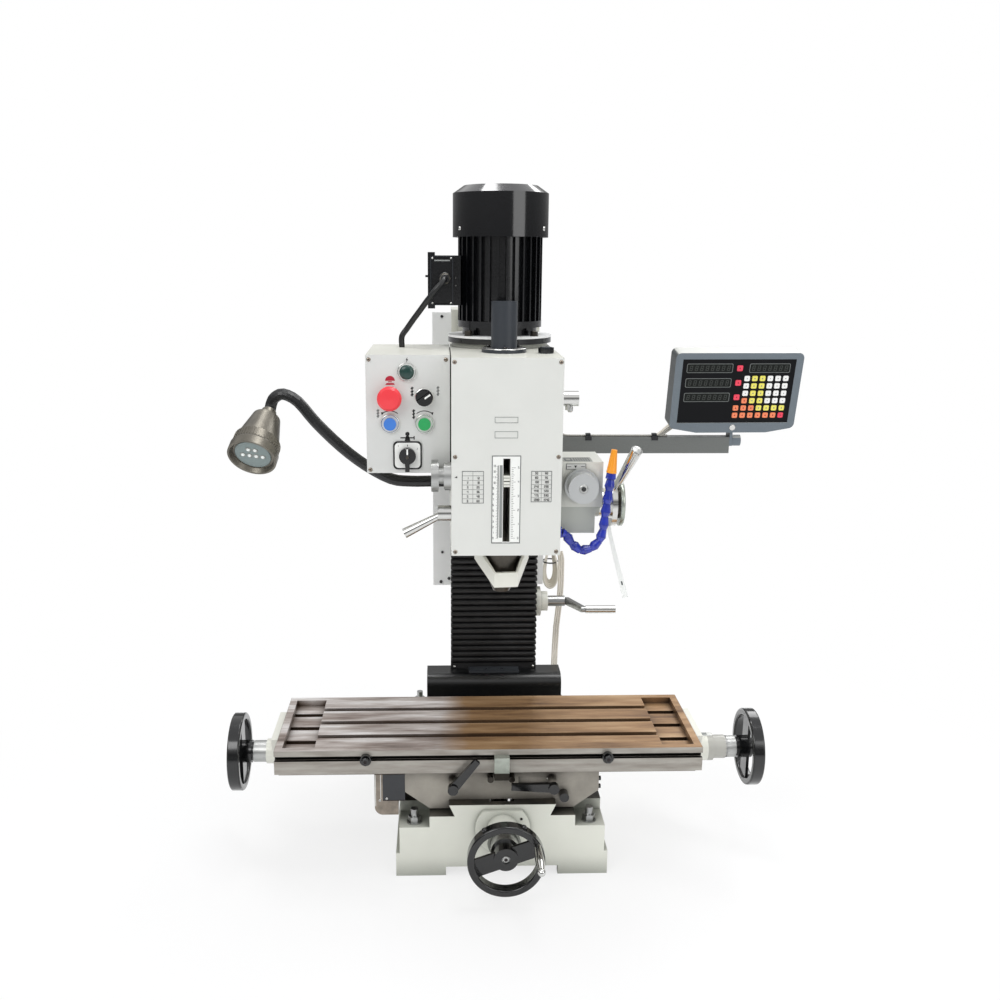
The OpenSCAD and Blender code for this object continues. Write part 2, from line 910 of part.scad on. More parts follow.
module y_handle() {
    color("#c9cbcc")
    y_grip_place() {
        translate([0, 0, -wheel_rim_t / 2])
            cylinder(d = grip_pin_d, h = grip_l / 2);
        translate([0, 0, slide_gap])
            rotate_extrude()
                polygon([
                    [0, 0], [grip_d * 0.38, 0], [grip_d * 0.42, grip_l * 0.12],
                    [grip_d * 0.5, grip_l * 0.45], [grip_d * 0.5, grip_l * 0.6],
                    [grip_d * 0.34, grip_l * 0.86], [grip_d * 0.3, grip_l * 0.92],
                    [0, grip_l * 0.92]
                ]);
        translate([0, 0, grip_l * 0.92])
            sphere(d = grip_ball_d);
    }
}

// Saddle group
module saddle_outline() {
    foot_z = deck_z + saddle_foot_gap;
    side_z = saddle_top - saddle_side_h;
    grow = slide_gap;
    polygon([
        [-saddle_w / 2, saddle_top], [-saddle_w / 2, side_z], [-saddle_foot_w / 2, foot_z],
        [-way_root_w / 2 - grow - (foot_z - deck_z) * way_slope(), foot_z],
        [-way_top_w / 2 - grow, way_z], [-way_top_w / 2 - grow, way_z + grow],
        [way_top_w / 2 + grow, way_z + grow], [way_top_w / 2 + grow, way_z],
        [way_root_w / 2 + grow + (foot_z - deck_z) * way_slope(), foot_z],
        [saddle_foot_w / 2, foot_z], [saddle_w / 2, side_z], [saddle_w / 2, saddle_top]
    ]);
}
function way_slope() = (way_top_w - way_root_w) / 2 / way_h;
module x_tail_outline(gap) {
    polygon([
        [-x_tail_root_w / 2 - gap, table_z + cut], [-x_tail_root_w / 2 - gap, table_z],
        [-x_tail_w / 2 - gap, table_z - x_tail_h - gap],
        [x_tail_w / 2 + gap, table_z - x_tail_h - gap],
        [x_tail_root_w / 2 + gap, table_z], [x_tail_root_w / 2 + gap, table_z + cut]
    ]);
}
module saddle() {
    color("#a9a49b")
    difference() {
        union() {
            difference() {
                along_y(-saddle_d / 2, saddle_d / 2)
                    saddle_outline();
                along_x(saddle_w + 2 * cut)
                    x_tail_outline(slide_gap);
                block(gib_slot_x - gib_slot_w / 2, gib_slot_x + gib_slot_w / 2,
                    -saddle_d, -saddle_d / 2 + gib_slot_d,
                    lock_z - gib_slot_drop - gib_slot_h / 2,
                    lock_z - gib_slot_drop + gib_slot_h / 2);
            }
            block(-nut_block_w / 2, nut_block_w / 2, -y_nut_l / 2, y_nut_l / 2,
                y_axis_z - nut_block_w / 2, way_z + 2 * slide_gap);
            block(-y_nut_l / 2, y_nut_l / 2, -nut_block_w / 2, nut_block_w / 2,
                table_z - x_tail_h - 2 * slide_gap, x_axis_z + nut_block_w / 2);
            for (x = [-lock_x, lock_x])
                rod_y(lever_pivot_d, -saddle_d / 2 - lever_out,
                    -saddle_d / 2 + 2 * gib_slot_d, x, lock_z);
        }
        rod_y(y_screw_d + 2 * run_gap, -y_nut_l, y_nut_l, 0, y_axis_z);
        rod_x(x_screw_d + 2 * run_gap, -y_nut_l, y_nut_l, 0, x_axis_z);
        rod_y(gib_knob_d / 2 + 2 * run_gap, -saddle_d, 0, gib_knob_x, gib_knob_z);
    }
}
module saddle_stops() {
    front = -table_d / 2 - 2 * slide_gap;
    low = table_z - stop_t * 0.64;
    color("#a9a69e") {
        block(stop_x - stop_w / 2, stop_x + stop_w / 2, front - stop_t, front,
            low + stop_t / 3, table_z + stop_h);
        block(stop_x - stop_w / 2, stop_x + stop_w / 2, front - stop_t, -saddle_d / 2,
            low, table_z - 2 * slide_gap);
    }
    color("#232325")
    for (x = [-1, 1])
        rod_y(stop_pin_d, -saddle_d / 2 - 1.6 * stop_pin_d, -saddle_d / 2,
            stop_x + x * (stop_w / 2 + stop_pin_d / 2), saddle_top - 1.4 * stop_pin_d);
}
// The cross-feed scale's cover: end plates over a low box along the saddle's side
module saddle_side_cover() {
    x1 = -saddle_w / 2;
    x0 = x1 - side_cover_out;
    y0 = -saddle_d / 2;
    color("#4b4a48") {
        for (y = [y0, -y0 - side_cover_t])
            along_y(y, y + side_cover_t)
                difference() {
                    translate([x0, side_cover_low])
                        square([side_cover_out, side_cover_top - side_cover_low]);
                    translate([x0, side_cover_low])
                        difference() {
                            square(side_cover_r);
                            translate([side_cover_r, side_cover_r])
                                circle(r = side_cover_r);
                        }
                    translate([x1 - side_box_step, side_cover_low - cut])
                        square([side_cover_out, saddle_top - saddle_side_h
                            - side_cover_low + cut]);
                }
        block(x1 - side_box_out, x1 - side_box_step, y0 + side_cover_t,
            -y0 - side_cover_t, side_cover_low + side_box_step, side_box_top);
        block(x1 - side_box_out, x1, y0 + side_cover_t, -y0 - side_cover_t,
            saddle_top - saddle_side_h, side_box_top);
    }
}
module lock_lever(x, angle, l) {
    front = -saddle_d / 2 - lever_out;
    color("#1c1c1f")
    translate([x, front - seat_gap, lock_z])
        rotate([90, 0, 0])
            union() {
                cylinder(d = lever_pivot_d * 1.25, h = lever_t * 1.5);
                rotate([0, 0, angle])
                    linear_extrude(lever_t)
                        polygon([
                            [0, -lever_pivot_d * 0.55], [0, lever_pivot_d * 0.55],
                            [l, lever_pivot_d * 0.36],
                            [l, -lever_pivot_d * 0.36]
                        ]);
            }
}
module table_lock_lever() {
    lock_lever(-lock_x, 51, lever_l);
}
module saddle_lock_lever() {
    lock_lever(lock_x, 178, lever_l * 1.1);
}
module gib_knob() {
    color("#1c1c1f") {
        rod_y(gib_knob_d, -saddle_d / 2 - gib_knob_d, -saddle_d / 2 - seat_gap,
            gib_knob_x, gib_knob_z);
        rod_y(gib_knob_d / 2, -saddle_d / 2 - gib_knob_d, -saddle_d / 2 + 2 * gib_knob_d,
            gib_knob_x, gib_knob_z);
    }
}

// Table group
module tslot_cut(y) {
    along_x(table_l - 2 * trough_edge, table_x) {
        translate([y - tslot_w / 2, table_top - tslot_depth])
            square([tslot_w, tslot_depth + cut]);
        translate([y - tslot_foot_w / 2, table_top - tslot_depth])
            square([tslot_foot_w, tslot_foot_h]);
    }
}
module table() {
    low = table_z - x_tail_h;
    color("#a89d92")
    difference() {
        union() {
            block(table_left, table_right, -table_d / 2, table_d / 2, table_z, table_top);
            along_x(table_l, table_x)
                x_tail_outline(0);
        }
        for (k = [-1, 0, 1])
            tslot_cut(k * tslot_pitch);
        for (x = [table_left + trough_edge, table_right - trough_edge - trough_l])
            block(x, x + trough_l, -table_d / 2 + trough_edge, table_d / 2 - trough_edge,
                table_top - trough_depth, table_top + cut);
        block(table_left - cut, table_right + cut, -x_slot_w / 2, x_slot_w / 2,
            low - cut, x_axis_z + nut_block_w / 2 + cut);
        block(table_left - cut, table_right + cut, -table_d / 2 - cut,
            -table_d / 2 + dog_slot_d, dog_slot_z - dog_slot_h / 2,
            dog_slot_z + dog_slot_h / 2);
        block(table_left - cut, table_right + cut, -table_d / 2 + dog_slot_d - dog_foot_t,
            -table_d / 2 + dog_slot_d, dog_slot_z - dog_foot_h / 2,
            dog_slot_z + dog_foot_h / 2);
    }
}
module end_bracket(neck_d, neck_l, bearing_d2, bearing_l) {
    difference() {
        union() {
            rotate([90, 0, 90])
                linear_extrude(end_plate_t)
                    polygon([
                        [-end_plate_w / 2, end_lift()],
                        [end_plate_w / 2, end_lift()],
                        [end_plate_foot_w / 2, end_lift() - end_plate_h],
                        [-end_plate_foot_w / 2, end_lift() - end_plate_h]
                    ]);
            rotate([0, 90, 0])
                cylinder(d = neck_d, h = end_plate_t + neck_l);
            rotate([0, 90, 0])
                cylinder(d = bearing_d2, h = end_plate_t + neck_l + bearing_l);
        }
        translate([-cut, 0, 0])
            rotate([0, 90, 0])
                cylinder(d = x_screw_d + 2 * run_gap,
                    h = end_plate_t + neck_l + bearing_l + 2 * cut);
    }
}
function end_lift() = table_top - x_axis_z - end_plate_top;
module table_end_brackets() {
    color("#e6e6da") {
        translate([table_right, 0, x_axis_z])
            end_bracket(right_neck_d, right_neck_l, right_bearing_d, right_bearing_l);
        translate([table_left, 0, x_axis_z])
            mirror([1, 0, 0])
                end_bracket(left_neck_d, left_neck_l, left_neck_d, 0);
    }
}
module dog(x) {
    face = -table_d / 2;
    color("#1d1d20") {
        rod_y(dog_head_d, face - dog_head_l, face - slide_gap, x, dog_slot_z);
        rod_y(dog_slot_h - 2 * slide_gap, face - dog_head_l, face + dog_slot_d - dog_foot_t,
            x, dog_slot_z);
        block(x - dog_head_d / 2, x + dog_head_d / 2,
            face + dog_slot_d - dog_foot_t + slide_gap,
            face + dog_slot_d - slide_gap, dog_slot_z - dog_foot_h / 2 + slide_gap,
            dog_slot_z + dog_foot_h / 2 - slide_gap);
        rod_y(dog_slot_h / 2, face - dog_head_l, face + dog_slot_d - 2 * slide_gap,
            x, dog_slot_z);
    }
}
module left_dog() {
    dog(left_dog_x);
}
module right_dog() {
    dog(right_dog_x);
}
module x_dial(x, l) {
    difference() {
        rod_x(x_dial_d, x, x + l, 0, x_axis_z);
        rod_x(x_screw_d * 0.7, x - cut, x + l + cut, 0, x_axis_z);
    }
}
module x_screw() {
    color("#b4b6b6") {
        rod_x(x_screw_d, left_dial_x, right_dial_x, 0, x_axis_z);
        rod_x(x_screw_d * 0.7, left_wheel_x - wheel_rim_t, right_wheel_x + wheel_rim_t,
            0, x_axis_z);
        x_dial(left_dial_x - left_dial_l, left_dial_l - seat_gap);
        x_dial(right_dial_x + seat_gap, right_dial_l - seat_gap);
    }
}
module x_handwheel() {
    difference() {
        union() {
            translate([0, 0, wheel_rim_t / 2])
                rotate([180, 0, 0])
                    dished_wheel(x_wheel_d, 0);
            translate([0, 0, -x_hub_l])
                cylinder(d = x_hub_d, h = x_hub_l + wheel_rim_t / 2);
        }
        translate([0, 0, -2 * x_hub_l])
            cylinder(d = x_screw_d * 0.7, h = 4 * x_hub_l);
    }
}
module x_handwheels() {
    color("#161618") {
        translate([right_wheel_x, 0, x_axis_z])
            rotate([0, 90, 0])
                x_handwheel();
        translate([left_wheel_x, 0, x_axis_z])
            rotate([0, -90, 0])
                x_handwheel();
    }
}

// Column feed
module z_screw() {
    color("#b4b6b6") {
        rod_z(z_screw_d, z_screw_bottom, z_screw_top, 0, z_axis_y);
        translate([0, z_axis_y, crank_z + bevel_in])
            cylinder(r1 = bevel_in - bevel_gap, r2 = bevel_out - bevel_gap,
                h = bevel_out - bevel_in);
    }
}
module z_crank() {
    face = col_w / 2 + crank_bracket_l + crank_neck_l;
    hub0 = face + seat_gap;
    hub1 = hub0 + crank_hub_l;
    lift = crank_arm_l * sin(crank_arm_tilt);
    reach = crank_arm_l * cos(crank_arm_tilt);
    color("#8f9190") {
        rod_x(crank_shaft_d, bevel_in, hub1, z_axis_y, crank_z);
        translate([bevel_in, z_axis_y, crank_z])
            rotate([0, 90, 0])
                cylinder(r1 = bevel_in - bevel_gap, r2 = bevel_out - bevel_gap,
                    h = bevel_out - bevel_in);
        rod_x(crank_hub_d * 1.4, hub0, hub1 - crank_arm_t, z_axis_y, crank_z);
        hull() {
            rod_x(crank_arm_w, hub1 - crank_arm_t, hub1, z_axis_y, crank_z);
            rod_x(crank_arm_w * 0.8, hub1 + crank_arm_out - crank_arm_t,
                hub1 + crank_arm_out, z_axis_y - reach, crank_z + lift);
        }
    }
}
module z_crank_handle() {
    hub1 = col_w / 2 + crank_bracket_l + crank_neck_l + seat_gap + crank_hub_l;
    x0 = hub1 + crank_arm_out + slide_gap;
    y = z_axis_y - crank_arm_l * cos(crank_arm_tilt);
    z = crank_z + crank_arm_l * sin(crank_arm_tilt);
    color("#c9cbcc") {
        rod_x(crank_grip_d, x0, x0 + crank_grip_l, y, z);
    }
}

// Carriage and head
module carriage() {
    root = col_neck_w / 2 + slide_gap;
    tail = col_tail_w / 2 + slide_gap;
    face = col_front - slide_gap;
    color("#b9b8b0")
    difference() {
        union() {
            translate([0, 0, carriage_z])
                linear_extrude(carriage_h)
                    polygon([
                        [-carriage_w / 2, carriage_front], [carriage_w / 2, carriage_front],
                        [carriage_w / 2, carriage_back], [root, carriage_back],
                        [tail, face + 2 * slide_gap], [tail, face], [-tail, face],
                        [-tail, face + 2 * slide_gap], [-root, carriage_back],
                        [-carriage_w / 2, carriage_back]
                    ]);
            rod_y(tilt_disc_d, head_back + seat_gap, carriage_front + cut, 0, head_mid_z);
            rod_y(tilt_pin_d - 4 * run_gap, head_back - tilt_pin_l, carriage_front + cut,
                0, head_mid_z);
            rod_z(col_screw_slot_w - 2 * wall / 3, head_mid_z - nut_block_w,
                head_mid_z + nut_block_w, 0, z_axis_y);
            block(-nut_block_w / 2, nut_block_w / 2, carriage_front + cut, z_axis_y,
                head_mid_z - nut_block_w, head_mid_z + nut_block_w);
        }
        rod_z(z_screw_d + 2 * run_gap, 0, col_top, 0, z_axis_y);
    }
}
module head_casting() {
    color("#e9e9e0")
    difference() {
        union() {
            block(-head_w / 2, head_w / 2, head_front, head_back, head_z, head_top);
            rod_z(motor_flange_d - wall, head_top - cut, motor_pad_z, 0, motor_y);
        }
        rod_z(bore_gap_d, head_z - cut, quill_z + quill_l + quill_d, 0, 0);
        rod_z(drawbar_bore_d, head_z - cut, head_top + cut, 0, 0);
        block(-plate_slot_w / 2, plate_slot_w / 2, head_front - cut, 0,
            head_z - cut, plate_slot_z + plate_slot_h);
        rod_y(tilt_pin_d, head_back - tilt_pin_l - slide_gap, head_back + cut,
            0, head_mid_z);
        rod_z(rotor_shaft_d + 2 * run_gap, head_top - rotor_shaft_d, motor_pad_z + cut,
            0, motor_y);
        rod_x(hub_shaft_d + 2 * run_gap, head_w / 2 - hub_shaft_in - slide_gap, head_w,
            hub_y, hub_z);
        for (q = [[feed_y, feed_dial_z], [lever_y, feed_lever_z]])
            rod_x(feed_shaft_d + 2 * run_gap, -head_w, -head_w / 2 + 2 * feed_shaft_d,
                q[0], q[1]);
        rod_x(feed_shaft_d + 2 * run_gap, head_w / 2 - 2 * feed_shaft_d, head_w,
            speed_y, speed_z);
    }
}
module head_plate() {
    color("#e4e5e1")
    difference() {
        block(-head_w / 2, head_w / 2, head_front - plate_t, head_front, head_z, head_top);
        block(-plate_slot_w / 2, plate_slot_w / 2, head_front - plate_t - cut,
            head_front + cut, plate_slot_z, plate_slot_z + plate_slot_h);
    }
}
module spindle_cap() {
    color("#3b3d42")
    difference() {
        union() {
            rod_z(cap_flange_d, head_top, head_top + cap_flange_h, 0, 0);
            rod_z(cap_d, head_top, head_top + cap_flange_h + cap_h, 0, 0);
        }
        rod_z(drawbar_d * 2, head_top - cut, head_top + cap_h, 0, 0);
    }
    color("#1a1a1c") {
        rod_z(oil_d, head_top, head_top + oil_h * 0.6, oil_x, oil_y);
        translate([oil_x, oil_y, head_top])
            cylinder(d = oil_d * 0.8, h = oil_h, $fn = 6);
    }
}

// Motor
module motor_shell() {
    z1 = motor_pad_z + flange_t;
    core_d = motor_d - 2 * fin_depth;
    color("#17171a")
    difference() {
        union() {
            rod_z(motor_flange_d, motor_pad_z, z1, 0, motor_y);
            rod_z(core_d, z1 - cut, motor_body_z, 0, motor_y);
            for (a = [45:90:315])
                translate([0, motor_y, z1 - cut])
                    rotate([0, 0, a])
                        translate([core_d / 2 - fin_depth, -fin_depth, 0])
                            cube([fin_depth * 1.5, 2 * fin_depth, bell_h]);
            translate([0, motor_y, motor_body_z])
                linear_extrude(motor_body_h)
                    union() {
                        circle(d = core_d);
                        for (k = [0:fin_count - 1])
                            rotate([0, 0, k * 360 / fin_count])
                                translate([core_d / 2 - fin_t, -fin_t / 2])
                                    square([fin_depth + fin_t - slide_gap, fin_t]);
                    }
            rod_z(motor_d, motor_body_z - fin_depth, motor_body_z + fin_t, 0, motor_y);
        }
        rod_z(rotor_shaft_d + 2 * run_gap, 0, 2 * col_top, 0, motor_y);
        rod_z(core_d - wall, motor_body_z + fin_depth, motor_body_z + motor_body_h - fin_depth,
            0, motor_y);
    }
}
module motor_cowl() {
    top = cowl_z + cowl_h;
    r = cowl_d / 2;
    color("#141416")
    translate([0, motor_y, 0])
        difference() {
            rotate_extrude()
                polygon([
                    [motor_d / 2 + slide_gap, cowl_z], [r, cowl_z], [r, top - cowl_bevel],
                    [cowl_top_d / 2, top], [0, top], [0, top - cowl_skin],
                    [cowl_top_d / 2 - cowl_skin / 2, top - cowl_skin],
                    [r - cowl_skin, top - cowl_bevel - cowl_skin / 2],
                    [r - cowl_skin, cowl_z + 2 * cowl_skin],
                    [motor_d / 2 + slide_gap, cowl_z + cowl_skin]
                ]);
            for (k = [-(grille_count - 1) / 2:(grille_count - 1) / 2])
                let(y = k * 3 * grille_w, half = sqrt(pow(cowl_top_d * 0.4, 2) - y * y))
                    block(-half, half, y - grille_w / 2, y + grille_w / 2,
                        top - 2 * cowl_skin, top + cut);
        }
}
module motor_rotor() {
    fan_z = motor_body_z + motor_body_h + fin_depth;
    color("#8a8c8e")
    translate([0, motor_y, 0]) {
        translate([0, 0, head_top - rotor_shaft_d * 0.7])
            cylinder(d = rotor_shaft_d, h = fan_z + fan_h - head_top + rotor_shaft_d * 0.7);
        translate([0, 0, motor_body_z + 2 * fin_depth])
            cylinder(d = motor_d - 2 * fin_depth - 3 * wall,
                h = motor_body_h - 4 * fin_depth);
        translate([0, 0, fan_z])
            cylinder(d = fan_d * 0.4, h = fan_h / 2);
        for (k = [0:fan_blades - 1])
            rotate([0, 0, k * 360 / fan_blades])
                translate([0, -fan_blade_t / 2, fan_z])
                    cube([fan_d / 2, fan_blade_t, fan_h]);
    }
}
module terminal_box() {
    x1 = -motor_d / 2 + fin_depth / 2;
    x0 = x1 - term_w;
    y0 = motor_y - term_d / 2;
    z0 = term_z;
    color("#1b1b1d")
    difference() {
        union() {
            block(x0, x1, y0, y0 + term_d, z0, z0 + term_h);
            block(x0 + term_w * 0.06, x1 - term_w * 0.2, y0 - term_w * 0.1, y0 + cut,
                z0 + term_h * 0.05, z0 + term_h * 0.95);
            block(x0 - term_lug / 3, x0 + term_lug * 0.8, y0, y0 + term_lug, z0 - term_lug / 2,
                z0 + term_h + term_lug / 2);
            rod_y(gland_d, y0 - gland_l, y0, gland_x, z0 + term_h * 0.54);
        }
        rod_z(motor_d + 2 * slide_gap, z0 - term_h, z0 + 2 * term_h, 0, motor_y);
    }
}
module motor_cable() {
    color("#111113")
    tube(curve(motor_cable_points, 3), cable_d, 10, [1, 0, 0]);
}

// Control box
function panel_x(share) = box_x - box_w + box_w * share;
function panel_z(share) = box_z + box_h * share;
module control_box() {
    color("#ecece6") {
        block(box_x - box_w, box_x, box_front, box_front + box_d, box_z, box_z + box_h);
        block(box_x - cut, -head_w / 2, box_front + box_d / 3, box_front + box_d * 0.8,
            box_z + box_h / 3, box_z + box_h * 0.8);
    }
}
module control_panel() {
    color("#c3c5c6")
    difference() {
        union() {
            block(box_x - box_w, box_x, panel_front, box_front, box_z, box_z + box_h);
            translate([panel_x(cam_x_share), panel_front - panel_t / 2,
                panel_z(cam_z_share)])
                cube([cam_plate_w, panel_t + cut, cam_plate_w], center = true);
            for (p = [[button_x_share, row1_share], [button_x_share, row2_share],
                    [selector_x_share, row1_share], [selector_x_share, row2_share]])
                rod_y(bezel_d, panel_front - 2 * panel_t, panel_front, panel_x(p[0]),
                    panel_z(p[1]));
            rod_y(bezel_d, panel_front - 2 * panel_t, panel_front, panel_x(cam_x_share),
                panel_z(lamp_z_share));
            rod_y(bezel_d * 0.75, panel_front - 4 * panel_t, panel_front,
                panel_x(cam_x_share), panel_z(lamp_z_share));
        }
        for (p = [[button_x_share, row1_share], [button_x_share, row2_share],
                [selector_x_share, row1_share], [selector_x_share, row2_share],
                [cam_x_share, cam_z_share]])
            rod_y(stem_d + 2 * run_gap, panel_front - 6 * panel_t, box_front + cut,
                panel_x(p[0]), panel_z(p[1]));
    }
}
module estop_button() {
    x = panel_x(button_x_share);
    z = panel_z(row1_share);
    face = panel_front - 2 * panel_t - estop_travel - slide_gap;
    color("#d8363c") {
        rod_y(stem_d, face - estop_travel, box_front - estop_travel - 2 * slide_gap, x, z);
        translate([x, face, z])
            rotate([90, 0, 0])
                rotate_extrude()
                    polygon([
                        [0, 0], [estop_d * 0.42, 0], [estop_d / 2, estop_d * 0.12],
                        [estop_d / 2, estop_d * 0.26], [estop_d * 0.4, estop_d * 0.36],
                        [0, estop_d * 0.4]
                    ]);
    }
}
module push_button(x_share, z_share) {
    x = panel_x(x_share);
    z = panel_z(z_share);
    face = panel_front - 2 * panel_t;
    rod_y(stem_d, face - 1.4 * button_travel, box_front - button_travel - 2 * slide_gap, x, z);
}
module blue_button() {
    color("#2f6fd0")
    push_button(button_x_share, row2_share);
}
module green_button() {
    color("#1fa04a")
    push_button(selector_x_share, row2_share);
}
module jog_selector() {
    x = panel_x(selector_x_share);
    z = panel_z(row1_share);
    face = panel_front - 2 * panel_t - slide_gap;
    color("#19191b") {
        rod_y(stem_d, face - cut, box_front - cut / 2, x, z);
        rod_y(selector_d, face - selector_d * 0.3, face, x, z);
        translate([x, face - selector_d * 0.35, z])
            rotate([0, -35, 0])
                cube([selector_d * 0.98, selector_d * 0.5, selector_d * 0.3],
                    center = true);
    }
}
module cam_switch() {
    x = panel_x(cam_x_share);
    z = panel_z(cam_z_share);
    face = panel_front - 2 * panel_t - slide_gap;
    color("#19191b") {
        rod_y(stem_d, face - cut, box_front - cut / 2, x, z);
        rod_y(cam_d, face - cam_d * 0.3, face, x, z);
        block(x - cam_d * 0.13, x + cam_d * 0.13, face - cam_d * 0.55, face - cam_d * 0.1,
            z - cam_d * 0.9, z + cam_d * 0.48);
    }
}

// Work lamp
module gooseneck() {
    color("#1e1f21") {
        tube(curve(neck_points, 3), neck_d, 12);
        rod_x(neck_d * 1.6, neck_points[0][0] - neck_d / 2, neck_points[0][0],
            neck_points[0][1], neck_points[0][2]);
    }
}
module lamp_head() {
    start = neck_points[len(neck_points) - 1];
    color("#5a5c5a")
    translate(start + lamp_axis * lamp_seat)
        rotate([0, acos(lamp_axis[2] / norm(lamp_axis)), atan2(lamp_axis[1], lamp_axis[0])])
            rotate_extrude()
                polygon([
                    [0, 0], [lamp_neck_d / 2, 0], [lamp_neck_d / 2, lamp_l * 0.08],
                    [lamp_shoulder_d / 2, lamp_l * 0.16], [lamp_ring_d / 2 * 0.93, lamp_l * 0.66],
                    [lamp_ring_d / 2, lamp_l * 0.67], [lamp_ring_d / 2, lamp_l * 0.82],
                    [lamp_face_d / 2, lamp_l * 0.86], [lamp_face_d / 2, lamp_l],
                    [lamp_face_d / 2 - lamp_lip, lamp_l],
                    [lamp_face_d / 2 - 2 * lamp_lip, lamp_l - lamp_recess],
                    [0, lamp_l - lamp_recess]
                ]);
}

// Head-side controls
module feed_dial() {
    x0 = -head_w / 2 - seat_gap;
    color("#c2c3c0") {
        rod_x(feed_ring_d, x0 - feed_dial_t, x0, feed_y, feed_dial_z);
        rod_x(feed_dial_d * 0.5, x0 - feed_dial_l + feed_dial_t / 2, x0, feed_y, feed_dial_z);
        rod_x(feed_dial_d, x0 - feed_dial_l, x0 - feed_dial_l + feed_dial_t, feed_y,
            feed_dial_z);
        rod_x(feed_shaft_d, x0 - cut, x0 + feed_shaft_d, feed_y, feed_dial_z);
    }
}
module feed_lever() {
    x0 = -head_w / 2 - seat_gap;
    color("#c9cbcc") {
        rod_x(feed_lever_d, x0 - feed_lever_l, x0, lever_y, feed_lever_z);
        rod_x(feed_shaft_d, x0 - cut, x0 + feed_shaft_d, lever_y, feed_lever_z);
        cone_between([x0 - feed_lever_l / 2, lever_y, feed_lever_z], feed_tip,
            feed_shaft_d * 0.8, feed_shaft_d * 1.3);
    }
}
module speed_knob() {
    x0 = head_w / 2 + seat_gap;
    color("#c9cbcc") {
        rod_x(speed_d, x0, x0 + speed_l, speed_y, speed_z);
        rod_x(feed_shaft_d, x0 - feed_shaft_d, x0 + cut, speed_y, speed_z);
        rod_z(speed_nub_d, speed_z - speed_d * 0.75, speed_z, x0 + speed_l * 0.45, speed_y);
    }
}
module feed_box() {
    x0 = head_w / 2;
    x1 = x0 + fbox_w;
    mid = (fbox_front + fbox_back) / 2;
    shaft_y = hub_y;
    color("#dcdcd4")
    difference() {
        union() {
            block(x0, x1, fbox_front, fbox_back, fbox_z, fbox_z + fbox_h);
            block(x0, x0 + lower_w, lower_front, lower_back, fbox_z - lower_h, fbox_z + cut);
            rod_x(hub_neck_d, x0, x1, shaft_y, hub_z);
        }
        rod_x(hub_shaft_d + 2 * run_gap, x0 - cut, x1 + cut, shaft_y, hub_z);
        rod_y(feed_shaft_d + 2 * run_gap, fbox_front - cut, fbox_front + 2 * feed_shaft_d,
            feed_knob_x, feed_knob_z);
    }
}
module feed_knob() {
    y1 = fbox_front - seat_gap;
    color("#c2c3c0") {
        rod_y(feed_knob_ring_d, y1 - feed_knob_l * 0.3, y1, feed_knob_x, feed_knob_z);
        rod_y(feed_knob_d, y1 - feed_knob_l, y1, feed_knob_x, feed_knob_z);
        rod_y(feed_shaft_d, y1 - cut, y1 + feed_shaft_d, feed_knob_x, feed_knob_z);
    }
}
module quill_lever_hub() {
    x0 = hub_x + seat_gap;
    x1 = x0 + hub_neck_l;
    dir = [0, -sin(hub_lever_angle), cos(hub_lever_angle)];
    start = [x1 + hub_disc_t / 2, hub_y, hub_z] + dir * hub_lever_r;
    tip = [x1 + hub_disc_t / 2 + hub_lever_out, hub_y, hub_z] + dir * hub_lever_end_r;
    color("#c4c6c7") {
        rod_x(hub_neck_d, x0, x1, hub_y, hub_z);
        rod_x(hub_disc_d, x1 - cut / 10, x1 + hub_disc_t, hub_y, hub_z);
        rod_x(hub_shaft_d, head_w / 2 - hub_shaft_in, x0 + cut, hub_y, hub_z);
        cone_between(start, tip, hub_rod_d, hub_rod_end_d);
    }
}
// Modular hose: each link is a ball that swells out of a narrow waist
module coolant_hose() {
    p = curve(hose_points, hose_links_per_step);
    color("#1b2fa0") {
        for (i = [0:len(p) - 2]) {
            mid = p[i] * 0.62 + p[i + 1] * 0.38;
            cone_between(p[i] - (p[i + 1] - p[i]) * 0.08, mid, hose_neck_d * 0.86, hose_d);
            cone_between(mid - (p[i + 1] - p[i]) * 0.04, p[i + 1], hose_d * 0.98, hose_neck_d);
        }
        rod_x(hose_d * 1.1, head_w / 2, head_w / 2 + hose_neck_d / 2, hose_points[0][1],
            hose_points[0][2]);
    }
    color("#f0a022")
    cone_between(p[len(p) - 1], nozzle_tip, nozzle_d, nozzle_tip_d);
}

// Quill group
module quill() {
    color("#8f9192")
    difference() {
        rod_z(quill_d, quill_z, quill_z + quill_l, 0, 0);
        rod_z(spindle_d + 2 * run_gap, quill_z - cut, quill_z + quill_l + cut, 0, 0);
    }
}
module quill_collar() {
    top = head_z - slide_gap;
    ring_z = top - collar_ring_h;
    color("#dfe1dc") {
        difference() {
            rod_z(collar_ring_d, ring_z, top, 0, 0);
            rod_z(quill_d + 2 * run_gap, ring_z - cut, top + cut, 0, 0);
        }
        rotate([0, 0, collar_turn]) {
            block(-collar_front_w / 2, collar_front_w / 2, collar_front,
                collar_front + collar_t, collar_z, collar_z + collar_band);
            both_sides()
                hull() {
                    block(collar_front_w / 2 - collar_t / 2, collar_front_w / 2, collar_front,
                        collar_front + collar_t, collar_z, collar_z + collar_band);
                    block(collar_side_w / 2 - collar_t, collar_side_w / 2, -collar_side_y,
                        collar_side_y, collar_z + collar_rise,
                        min(collar_z + collar_rise + collar_band, top));
                }
        }
    }
    color("#d0d0cc")
    block(-pointer_w / 2, pointer_w / 2, head_front - plate_t * 1.5, -quill_d / 2,
        pointer_z, pointer_z + pointer_h);
}
